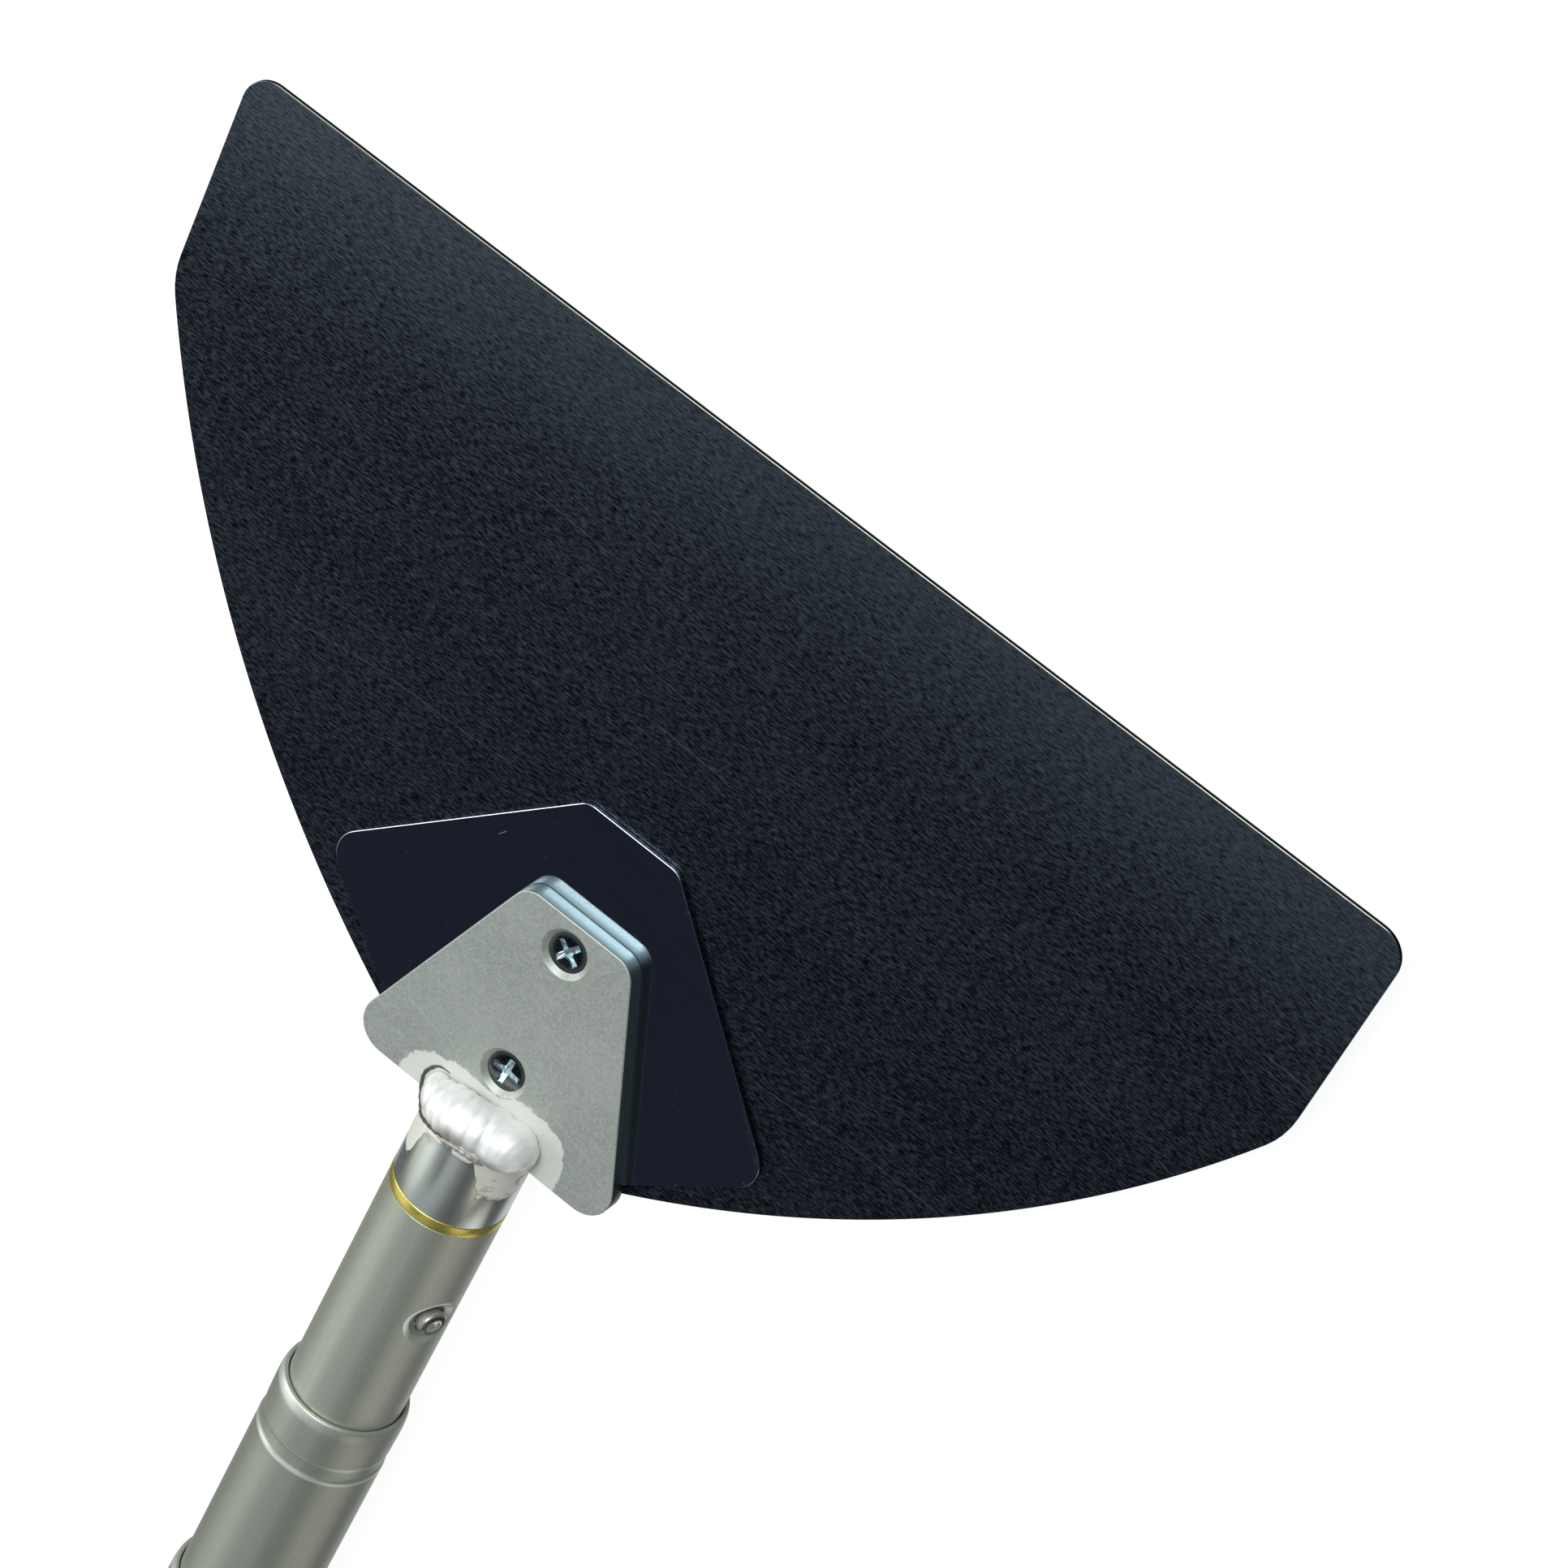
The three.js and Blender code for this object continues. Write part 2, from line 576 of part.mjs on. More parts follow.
// Each inner tube ends in a plug with a threaded stud. Turning the tube draws the cone nut into the split
// collet, which spreads against the bore of the tube around it.
const STUD_RADIUS = 3;
const STUD_CLEARANCE = 0.4;
const PLUG = { depth: 25, flange: 4, wallGap: 0.2 };
const COLLET = { start: 4.4, taperStart: 14, slotStart: 15, end: 34, narrow: 6.6, wide: 10.2, boreGap: 0.25 };
const COLLET_SLOT_WIDTH = 1.6;
const CONE = { start: 18, taperEnd: 34, end: 40, seatGap: 0.35 };
const STUD_NUT = { start: 42.2, acrossFlats: 10, bore: STUD_RADIUS + 0.3, thickness: 4.8 };
const STUD = { start: -20, end: 48 };

function twistLock(prefix, inner, outer) {
  const from = (distance) => inner.end + distance;
  const loose = STUD_RADIUS + STUD_CLEARANCE;

  add(pole, `${prefix}_lock_plug`, turnedRing([
    [loose, from(PLUG.flange)],
    [inner.radius - PLUG.wallGap, from(PLUG.flange)],
    [inner.radius - PLUG.wallGap, inner.end],
    [inner.bore - PLUG.wallGap, inner.end],
    [inner.bore - PLUG.wallGap, from(-PLUG.depth)],
    [loose, from(-PLUG.depth)],
  ], INNER_SIDES), FINISH.lockPlastic);

  add(pole, `${prefix}_lock_stud`, turned([
    [0, from(STUD.end)],
    [STUD_RADIUS, from(STUD.end)],
    [STUD_RADIUS, from(STUD.start)],
    [0, from(STUD.start)],
  ], INNER_SIDES), FINISH.springSteel);

  const taper = (COLLET.wide - COLLET.narrow) / (COLLET.end - COLLET.taperStart);
  const outside = outer.bore - COLLET.boreGap;
  const collet = turnedRing([
    [COLLET.wide, from(COLLET.end)],
    [outside, from(COLLET.end)],
    [outside, from(COLLET.start)],
    [loose, from(COLLET.start)],
    [loose, from(COLLET.taperStart)],
    [COLLET.narrow, from(COLLET.taperStart)],
  ], INNER_SIDES);
  const slot = boxBetween(
    [-outside - CUT_OVER, -from(COLLET.end + CUT_OVER), -COLLET_SLOT_WIDTH / 2],
    [outside + CUT_OVER, -from(COLLET.slotStart), COLLET_SLOT_WIDTH / 2],
  );
  const crossSlot = slot.clone().rotateY(Math.PI / 2);
  add(pole, `${prefix}_lock_collet`, cut(collet, slot, crossSlot), FINISH.lockPlastic);

  const seatRadius = (distance) => COLLET.narrow + taper * (distance - COLLET.taperStart) - CONE.seatGap;
  add(pole, `${prefix}_lock_cone`, turnedRing([
    [loose, from(CONE.end)],
    [seatRadius(CONE.taperEnd), from(CONE.end)],
    [seatRadius(CONE.taperEnd), from(CONE.taperEnd)],
    [seatRadius(CONE.start), from(CONE.start)],
    [loose, from(CONE.start)],
  ], INNER_SIDES), FINISH.lockPlastic);

  const nut = hexNut(STUD_NUT).rotateX(Math.PI / 2);
  nut.translate(0, -from(STUD_NUT.start + STUD_NUT.thickness / 2), 0);
  add(pole, `${prefix}_lock_stop_nut`, nut, FINISH.springSteel);
}
twistLock('upper', TOP_TUBE, MIDDLE_TUBE);
twistLock('lower', MIDDLE_TUBE, BOTTOM_TUBE);

// ---- grip and end cap ---------------------------------------------------------------------------------

const GRIP_BORE = BOTTOM_TUBE.radius + GRIP.boreGap;
add(pole, 'foam_grip', turnedRing([
  [GRIP_BORE, GRIP.end],
  [GRIP.radius, GRIP.end],
  [GRIP.radius, GRIP.start + GRIP.rounding],
  [GRIP.radius - GRIP.roundingDepth, GRIP.start + GRIP_END_FACE],
  [GRIP_BORE, GRIP.start],
]), FINISH.gripFoam);

const CAP_PLUG_RADIUS = BOTTOM_TUBE.bore - CAP.plugGap;
const CAP_END = BOTTOM_TUBE.end + CAP.flange;
add(pole, 'end_cap', turned([
  [0, CAP_END],
  [GRIP.radius - CAP.rounding, CAP_END],
  [GRIP.radius - CAP.roundingShoulder, CAP_END - CAP.roundingShoulder],
  [GRIP.radius, CAP_END - CAP.rounding],
  [GRIP.radius, BOTTOM_TUBE.end],
  [CAP_PLUG_RADIUS, BOTTOM_TUBE.end],
  [CAP_PLUG_RADIUS, BOTTOM_TUBE.end - CAP.plugDepth],
  [0, BOTTOM_TUBE.end - CAP.plugDepth],
]), FINISH.capRubber);

export default tool;
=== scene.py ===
"""Looks of the beach sand scoop, a flat blade on a pole: finer pieces and node materials on the CAD frame.

Metres, +Z up. The pole runs along Y and the blade's straight front edge is at the +Y end. A "station" is a
distance in millimetres behind that edge, and a height is in millimetres above the blade's upper face.
"""
import json
import math

import bmesh
import bpy
import numpy as np
from mathutils import Matrix, Vector


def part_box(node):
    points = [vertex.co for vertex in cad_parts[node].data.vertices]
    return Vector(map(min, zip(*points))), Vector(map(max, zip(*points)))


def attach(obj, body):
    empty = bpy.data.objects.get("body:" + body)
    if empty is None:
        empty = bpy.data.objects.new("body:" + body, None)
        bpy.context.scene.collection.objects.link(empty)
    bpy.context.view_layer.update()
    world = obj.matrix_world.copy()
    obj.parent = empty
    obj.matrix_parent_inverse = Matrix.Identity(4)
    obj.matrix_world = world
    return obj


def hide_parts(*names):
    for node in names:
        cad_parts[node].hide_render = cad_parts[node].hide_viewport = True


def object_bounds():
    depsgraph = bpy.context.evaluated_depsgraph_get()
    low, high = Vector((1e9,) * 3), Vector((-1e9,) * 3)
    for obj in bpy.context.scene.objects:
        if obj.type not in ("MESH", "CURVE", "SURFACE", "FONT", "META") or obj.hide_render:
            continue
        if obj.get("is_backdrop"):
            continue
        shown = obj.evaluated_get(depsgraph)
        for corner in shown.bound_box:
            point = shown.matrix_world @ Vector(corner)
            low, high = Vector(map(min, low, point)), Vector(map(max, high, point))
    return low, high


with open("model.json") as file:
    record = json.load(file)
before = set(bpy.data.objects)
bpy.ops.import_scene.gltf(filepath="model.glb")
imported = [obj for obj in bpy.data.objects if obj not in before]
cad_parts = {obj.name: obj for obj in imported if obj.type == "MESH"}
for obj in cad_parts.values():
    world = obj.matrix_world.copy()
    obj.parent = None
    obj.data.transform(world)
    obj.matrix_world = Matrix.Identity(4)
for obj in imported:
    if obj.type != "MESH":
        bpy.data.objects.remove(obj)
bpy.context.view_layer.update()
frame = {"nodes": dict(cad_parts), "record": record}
scene = bpy.context.scene

MM = 0.001
_, BLADE_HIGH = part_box("blade")
TUBE_LOW, TUBE_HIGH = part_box("bottom_tube")
FRONT_Y = BLADE_HIGH.y
BLADE_TOP = BLADE_HIGH.z
AXIS_Z = (TUBE_LOW.z + TUBE_HIGH.z) / 2
AXIS_HEIGHT = (AXIS_Z - BLADE_TOP) / MM


def place(x, station, height):
    """A point from millimetres across, a station and a height above the blade."""
    return Vector((x * MM, FRONT_Y - station * MM, BLADE_TOP + height * MM))


BUTTON_ANGLE = math.radians(90 - 23)
BUTTON_STATION = 209.4


def height_of(z):
    return (z - BLADE_TOP) / MM


def station_of(y):
    return (FRONT_Y - y) / MM


# ---- node materials -----------------------------------------------------------------------------------

class Nodes:
    """Short ways to add nodes to a tree."""

    def __init__(self, tree):
        self.tree = tree

    def put(self, socket, value):
        if isinstance(value, bpy.types.NodeSocket):
            self.tree.links.new(value, socket)
        else:
            socket.default_value = value

    def node(self, kind, inputs=None, **settings):
        made = self.tree.nodes.new(kind)
        for name, value in settings.items():
            setattr(made, name, value)
        for name, value in (inputs or {}).items():
            self.put(made.inputs[name], value)
        return made

    def vector(self, operation, a, b=None, scale=None):
        made = self.node("ShaderNodeVectorMath", {0: a}, operation=operation)
        if b is not None:
            self.put(made.inputs[1], b)
        if scale is not None:
            self.put(made.inputs["Scale"], scale)
        return made.outputs["Value" if operation in ("DOT_PRODUCT", "LENGTH") else "Vector"]

    def math(self, operation, a, b=0.0, clamp=False):
        made = self.node("ShaderNodeMath", {0: a, 1: b}, operation=operation, use_clamp=clamp)
        return made.outputs[0]

    def plus(self, a, b, clamp=False):
        return self.math("ADD", a, b, clamp)

    def minus(self, a, b):
        return self.math("SUBTRACT", a, b)

    def times(self, a, b):
        return self.math("MULTIPLY", a, b)

    def step(self, value, low, high, to_low=0.0, to_high=1.0):
        """Runs smoothly from to_low at `low` to to_high at `high`, and is flat outside."""
        made = self.node("ShaderNodeMapRange", {
            "Value": value, "From Min": low, "From Max": high, "To Min": to_low, "To Max": to_high,
        }, interpolation_type="SMOOTHSTEP")
        return made.outputs["Result"]

    def band(self, value, middle, outer, inner, top=1.0):
        """`top` within `inner` of a middle value, and 0 further from it than `outer`."""
        return self.step(self.math("ABSOLUTE", self.minus(value, middle)), outer, inner, 0.0, top)

    def mix(self, share, a, b, blend="MIX"):
        made = self.node("ShaderNodeMix", data_type="RGBA", blend_type=blend)
        self.put(made.inputs["Factor"], share)
        self.put(made.inputs[6], a if isinstance(a, bpy.types.NodeSocket) else (*a, 1))
        self.put(made.inputs[7], b if isinstance(b, bpy.types.NodeSocket) else (*b, 1))
        return made.outputs[2]


class Finish(Nodes):
    """A node material around one Principled shader, with object coordinates in millimetres."""

    def __init__(self, name, **sockets):
        self.material = bpy.data.materials.new(name)
        self.material.use_nodes = True
        super().__init__(self.material.node_tree)
        self.shader = self.tree.nodes["Principled BSDF"]
        for socket, value in sockets.items():
            self.set(socket.replace("_", " "), value)
        coordinates = self.node("ShaderNodeTexCoord").outputs["Object"]
        self.position = self.vector("SCALE", coordinates, scale=1 / MM)
        split = self.node("ShaderNodeSeparateXYZ", {"Vector": self.position})
        self.x, self.y, self.z = split.outputs

    def set(self, socket, value):
        self.put(self.shader.inputs[socket], value)

    def station(self):
        return self.minus(FRONT_Y / MM, self.y)

    def offset(self, x, station, height):
        """The way in millimetres from a place."""
        return self.vector("SUBTRACT", self.position, tuple(place(x, station, height) / MM))

    def turned(self, degrees, shift=(0, 0, 0)):
        made = self.node("ShaderNodeMapping", {
            "Vector": self.position, "Location": shift, "Rotation": (0, 0, math.radians(degrees)),
        })
        return made.outputs["Vector"]

    def noise(self, frequency, detail=2.0, roughness=0.5, at=None, offset=0.0):
        """Noise with so many cycles per millimetre along x, y and z."""
        frequency = frequency if hasattr(frequency, "__len__") else (frequency,) * 3
        scaled = self.node("ShaderNodeMapping", {
            "Vector": self.position if at is None else at,
            "Location": (offset, offset * 0.7, offset * 1.3), "Scale": frequency,
        })
        made = self.node("ShaderNodeTexNoise", {
            "Vector": scaled.outputs["Vector"], "Scale": 1.0, "Detail": detail, "Roughness": roughness,
        })
        return made.outputs["Fac"]

    def scratches(self, degrees, length, spacing, rarity, offset):
        """Thin straight scratches at random places: 1 on a scratch and 0 beside it."""
        along = self.turned(degrees)
        fine = self.noise((1 / length, 1 / spacing, 1 / spacing), 1.0, at=along, offset=offset)
        broken = self.noise(0.09, 2.0, offset=offset + 31.0)
        line = self.step(fine, rarity, rarity + 0.03)
        return self.times(line, self.step(broken, 0.5, 0.58))

    def scratch(self, x, station, degrees, length, width):
        """One thin scratch centred at a place, with ends that fade."""
        offset = self.offset(x, station, 0)
        angle = math.radians(degrees)
        along = self.vector("DOT_PRODUCT", offset, (math.cos(angle), math.sin(angle), 0))
        aside = self.vector("DOT_PRODUCT", offset, (-math.sin(angle), math.cos(angle), 0))
        wander = self.noise(0.02, 1.0, offset=length)
        aside = self.plus(aside, self.step(wander, 0.3, 0.7, -1.2, 1.2))
        line = self.step(self.math("ABSOLUTE", aside), width, width * 0.3)
        ends = self.step(self.math("ABSOLUTE", along), length / 2, length / 2 * 0.6)
        return self.times(line, ends)

    def from_screws(self):
        """The distance in millimetres from the nearer screw's axis."""
        nearest = None
        for screw in ("front_screw", "rear_screw"):
            low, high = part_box(screw)
            offset = self.vector("SUBTRACT", self.position, tuple((low + high) / 2 / MM))
            distance = self.vector("LENGTH", self.vector("MULTIPLY", offset, (1, 1, 0)))
            nearest = distance if nearest is None else self.math("MINIMUM", nearest, distance)
        return nearest

    def from_button(self):
        """The distance in millimetres from the snap button's axis, and the way from it."""
        pole = Vector((math.sin(BUTTON_ANGLE), 0, math.cos(BUTTON_ANGLE)))
        offset = self.offset(0, BUTTON_STATION, AXIS_HEIGHT)
        along = self.vector("DOT_PRODUCT", offset, tuple(pole))
        beside = self.vector("SUBTRACT", offset, self.vector("SCALE", tuple(pole), scale=along))
        far_side = self.step(along, 2.0, 1.0, 0.0, 50.0)
        return self.plus(self.vector("LENGTH", beside), far_side), beside

    def most(self, masks):
        total = masks[0]
        for mask in masks[1:]:
            total = self.math("MAXIMUM", total, mask)
        return total

    def bump(self, height, strength, distance):
        made = self.node("ShaderNodeBump", {
            "Strength": strength, "Distance": distance * MM, "Height": height,
        })
        self.set("Normal", made.outputs["Normal"])


def blade_steel():
    finish = Finish("blade_brushed_steel", Metallic=1.0)
    grain = finish.noise((0.50, 3.2, 0.50), 4.0, 0.7)
    fleck = finish.noise((0.9, 2.8, 0.8), 3.0, 0.7, offset=9.0)
    cloud = finish.noise((0.012, 0.03, 0.03), 3.0, 0.55, offset=4.0)
    station = finish.station()
    # Lighter towards the front edge.
    toward_front = finish.math("POWER", finish.step(station, 70.0, -30.0), 1.6)
    lit = finish.plus(finish.step(grain, 0.3, 0.7, -0.37, 0.37), finish.step(fleck, 0.3, 0.7, -0.28, 0.28))
    lit = finish.plus(lit, finish.step(cloud, 0.35, 0.7, 0.0, 0.10))
    lit = finish.plus(lit, finish.times(toward_front, 0.80))
    lit = finish.plus(lit, 0.22, clamp=True)
    body = finish.mix(lit, (0.008, 0.010, 0.016), (0.140, 0.166, 0.200))
    lines = finish.most([
        finish.scratch(-57, 93, 5.5, 78, 0.16),
        finish.scratch(-18, 72, 3.5, 84, 0.12),
        finish.scratch(67, 113, 1.5, 62, 0.14),
        finish.scratch(93, 99, -1.5, 70, 0.12),
        finish.scratch(-88, 60, 4.5, 60, 0.10),
        finish.scratches(2.0, 60.0, 0.9, 0.76, 3.0),
    ])
    body = finish.mix(finish.times(lines, 0.35), body, (0.30, 0.34, 0.36))
    ground = finish.step(station, 0.4, 0.15)
    finish.set("Base Color", finish.mix(ground, body, (0.40, 0.39, 0.33)))
    finish.set("Roughness", finish.step(grain, 0.3, 0.7, 0.27, 0.37))
    finish.bump(finish.plus(grain, finish.times(fleck, 0.8)), 0.10, 0.05)
    return finish.material


def stiffener_steel():
    finish = Finish("stiffener_mirror_steel", Metallic=1.0)
    haze = finish.noise((0.05, 0.35, 0.2), 3.0, 0.6)
    dust = finish.step(finish.noise(0.9, 1.0, offset=21.0), 0.74, 0.80)
    lines = finish.most([
        finish.scratch(45, 146, -9, 13, 0.2),
        finish.scratch(-24, 104, 60, 3, 0.14),
    ])
    body = finish.mix(haze, (0.50, 0.54, 0.64), (0.60, 0.63, 0.72))
    station = finish.station()
    offset = finish.offset(33.6, 108.8, 0)
    inside = finish.vector("DOT_PRODUCT", offset, (-0.7172, -0.6968, 0))
    scuffed = finish.step(inside, 3.2, 0.2)
    scuffed = finish.times(scuffed, finish.step(finish.x, 38.0, 50.0))
    scuffed = finish.times(scuffed, finish.step(station, 146.0, 132.0))
    scuffed = finish.times(scuffed, finish.step(finish.noise(0.5, 4.0, 0.7, offset=2.0), 0.36, 0.66))
    marks = finish.most([
        finish.times(lines, 0.5),
        finish.times(dust, 0.25),
        finish.times(scuffed, 0.3),
    ])
    body = finish.mix(marks, body, (0.60, 0.62, 0.60))
    top = height_of(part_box("stiffener_plate")[1].z)
    depth = finish.minus(top + BLADE_TOP / MM, finish.z)
    # The side wall below the top face gets a darker base colour: painted shade.
    finish.set("Base Color", finish.mix(finish.step(depth, 0.14, 0.26), body, (0.26, 0.28, 0.33)))
    finish.set("Roughness", finish.step(marks, 0.0, 0.8, 0.07, 0.45))
    finish.bump(haze, 0.03, 0.05)
    return finish.material


HALO_LOBES = [(-1.6, 18.4, 11.0), (9.4, 10.6, 13.6)]


def weld_halo(finish, grain):
    """1 in the pale zone that the welding heat left around the bead, with a crisp uneven edge."""
    masks = []
    wobble = finish.step(grain, 0.25, 0.75, -0.13, 0.13)
    for middle, half_width, ahead in HALO_LOBES:
        offset = finish.offset(middle, 164.0, 0)
        parts = finish.node("ShaderNodeSeparateXYZ", {"Vector": offset}).outputs
        across = finish.math("ABSOLUTE", finish.math("DIVIDE", parts[0], half_width))
        along = finish.math("ABSOLUTE", finish.math("DIVIDE", parts[1], ahead))
        size = finish.plus(finish.math("POWER", across, 2.9), finish.math("POWER", along, 2.6))
        masks.append(finish.step(finish.plus(size, wobble), 1.06, 0.95))
    return finish.most(masks)


def bracket_aluminium():
    finish = Finish("bracket_satin_aluminium", Metallic=0.6)
    grain = finish.noise(1.9, 3.0, 0.65)
    patch = finish.noise(0.06, 3.0, 0.6, offset=5.0)
    speck = finish.noise(3.6, 2.0, 0.6, offset=23.0)
    body = finish.mix(finish.step(grain, 0.3, 0.7), (0.40, 0.42, 0.39), (0.52, 0.54, 0.50))
    body = finish.mix(finish.step(patch, 0.35, 0.7, 0.0, 0.35), body, (0.60, 0.62, 0.57))
    body = finish.mix(finish.step(speck, 0.60, 0.72, 0.0, 0.4), body, (0.26, 0.27, 0.26))
    saw = finish.noise((0.02, 0.02, 3.4), 3.0, 0.7, offset=7.0)
    top = height_of(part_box("bracket_plate")[1].z)
    wall = finish.step(finish.minus(finish.z, BLADE_TOP / MM), top - 0.05, top - 0.3)
    wall = finish.times(wall, finish.step(finish.from_screws(), 6.0, 6.5))
    # The side wall is painted dark teal, a painted reflection, with darker saw marks in it.
    sawn = finish.times(wall, finish.step(saw, 0.35, 0.65, 0.4, 0.0))
    body = finish.mix(sawn, body, (0.16, 0.22, 0.22))
    body = finish.mix(finish.times(wall, 0.85), body, (0.17, 0.24, 0.235))
    lines = finish.most([
        finish.scratch(-24, 147, -9, 9, 0.13),
        finish.scratch(-19, 149, -14, 12, 0.13),
        finish.scratch(-8, 132, -20, 6, 0.13),
        finish.scratch(19, 150, -12, 14, 0.11),
        finish.scratch(25, 159, 8, 18, 0.11),
        finish.scratch(4, 124, -16, 5, 0.11),
        finish.scratches(9.0, 5.0, 0.5, 0.72, 1.0),
        finish.scratches(26.0, 4.0, 0.5, 0.73, 8.0),
    ])
    body = finish.mix(finish.times(lines, 0.33), body, (0.86, 0.88, 0.84))
    halo = weld_halo(finish, finish.noise(0.45, 4.0, 0.65, offset=13.0))
    frost = finish.mix(grain, (0.66, 0.67, 0.62), (0.80, 0.80, 0.75))
    finish.set("Base Color", finish.mix(halo, body, frost))
    satin = finish.minus(0.6, finish.times(halo, 0.35))
    finish.set("Metallic", finish.plus(satin, finish.times(wall, 0.4), clamp=True))
    rough = finish.step(grain, 0.3, 0.7, 0.44, 0.54)
    rough = finish.minus(rough, finish.times(wall, 0.12))
    finish.set("Roughness", finish.plus(rough, finish.times(halo, 0.12)))
    finish.bump(finish.plus(grain, finish.times(lines, -0.7)), 0.18, 0.05)
    return finish.material


def neck_aluminium():
    finish = Finish("neck_turned_aluminium", Metallic=0.85)
    turning = finish.noise((0.05, 4.5, 0.05), 3.0, 0.6)
    streak = finish.noise((0.55, 0.03, 0.55), 3.0, 0.6, offset=8.0)
    grain = finish.noise(1.6, 3.0, 0.6, offset=3.0)
    body = finish.mix(turning, (0.68, 0.71, 0.66), (0.74, 0.76, 0.70))
    body = finish.mix(finish.step(streak, 0.35, 0.65, 0.0, 0.5), body, (0.84, 0.86, 0.79))
    body = finish.mix(finish.scratches(-30.0, 4.0, 0.5, 0.74, 15.0), body, (0.97, 0.97, 0.95))
    station = finish.station()
    edge = finish.noise(0.30, 2.0, 0.4, offset=19.0)
    left = finish.step(finish.x, -6.2, -8.2)
    right = finish.step(finish.x, 5.5, 9.0)
    limit = finish.plus(finish.step(finish.x, -6.0, 1.0, 165.6, 163.2), finish.times(left, 8.3))
    limit = finish.plus(limit, finish.times(right, 8.6))
    limit = finish.plus(limit, finish.step(edge, 0.3, 0.7, -0.9, 0.9))
    margin = finish.minus(limit, station)
    halo = finish.step(margin, -0.3, 0.3)
    rim = finish.times(finish.step(margin, -1.3, -0.1), 0.45)
    body = finish.mix(rim, body, (0.46, 0.40, 0.28))
    frost = finish.mix(grain, (0.74, 0.73, 0.66), (0.88, 0.87, 0.80))
    spatter = finish.times(finish.step(finish.noise(0.42, 2.0, 0.5, offset=41.0), 0.46, 0.66), right)
    spatter = finish.times(spatter, finish.step(station, 166.0, 167.0))
    frost = finish.mix(finish.times(spatter, 0.75), frost, (0.34, 0.32, 0.27))
    finish.set("Base Color", finish.mix(halo, body, frost))
    finish.set("Metallic", finish.minus(0.85, finish.times(halo, 0.6)))
    rough = finish.step(streak, 0.3, 0.7, 0.17, 0.25)
    finish.set("Roughness", finish.plus(rough, finish.times(halo, 0.25)))
    finish.bump(turning, 0.10, 0.05)
    return finish.material


def weld_metal():
    finish = Finish("weld_bead_aluminium", Metallic=0.25)
    cloud = finish.noise(0.16, 2.0, 0.5, offset=5.0)
    body = finish.mix(cloud, (0.82, 0.81, 0.79), (0.92, 0.91, 0.89))
    along_neck = finish.offset(0, 160, 9)
    neck_side = finish.step(finish.vector("DOT_PRODUCT", along_neck, (0, -0.7071, 0.7071)), 2.4, 4.6)
    neck_side = finish.times(neck_side, finish.step(finish.x, -7.0, -1.0))
    from_blob = finish.offset(8.4, 159.4, 8.4)
    under_blob = finish.step(finish.vector("DOT_PRODUCT", from_blob, (0.30, -0.92, -0.25)), 2.4, 5.4)
    # Painted shade with a brownish, sooty tint: darker on the bead's neck side and under the big blob.
    painted_shade_and_soot = finish.times(finish.most([neck_side, under_blob]), finish.step(cloud, 0.30, 0.55, 0.5, 0.85))
    finish.set("Base Color", finish.mix(painted_shade_and_soot, body, (0.27, 0.24, 0.20)))
    finish.set("Roughness", finish.step(cloud, 0.3, 0.7, 0.28, 0.38))
    return finish.material


def weld_crevice():
    """A near-black strand along the bead's edge: painted shade standing in for the shadowed crevice beside
    the bead.
    """
    finish = Finish("weld_crevice_painted_shade", Metallic=0.2)
    grain = finish.noise(2.4, 3.0, 0.6)
    finish.set("Base Color", finish.mix(grain, (0.03, 0.028, 0.024), (0.16, 0.14, 0.11)))
    finish.set("Roughness", finish.step(grain, 0.3, 0.7, 0.35, 0.6))
    finish.bump(grain, 0.3, 0.1)
    return finish.material


def screw_zinc():
    """A dark screw whose cross recess is painted bright: a painted highlight for the glints in the recess."""
    finish = Finish("screw_dark_zinc", Metallic=1.0)
    grain = finish.noise(1.8, 3.0, 0.6)
    top = (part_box("front_screw")[1].z - BLADE_TOP) / MM
    below = finish.minus(top + BLADE_TOP / MM, finish.z)
    recess_glint = finish.times(finish.step(below, 0.1, 0.4), finish.step(finish.from_screws(), 3.75, 3.6))
    skin = finish.mix(grain, (0.075, 0.085, 0.088), (0.16, 0.175, 0.175))
    # Painted highlight colour for the cross recess.
    bright = finish.mix(grain, (0.50, 0.64, 0.70), (0.82, 0.92, 0.94))
    finish.set("Base Color", finish.mix(recess_glint, skin, bright))
    rough = finish.step(grain, 0.3, 0.7, 0.12, 0.2)
    finish.set("Roughness", finish.plus(rough, finish.times(recess_glint, 0.1)))
    finish.bump(grain, 0.12, 0.05)
    return finish.material


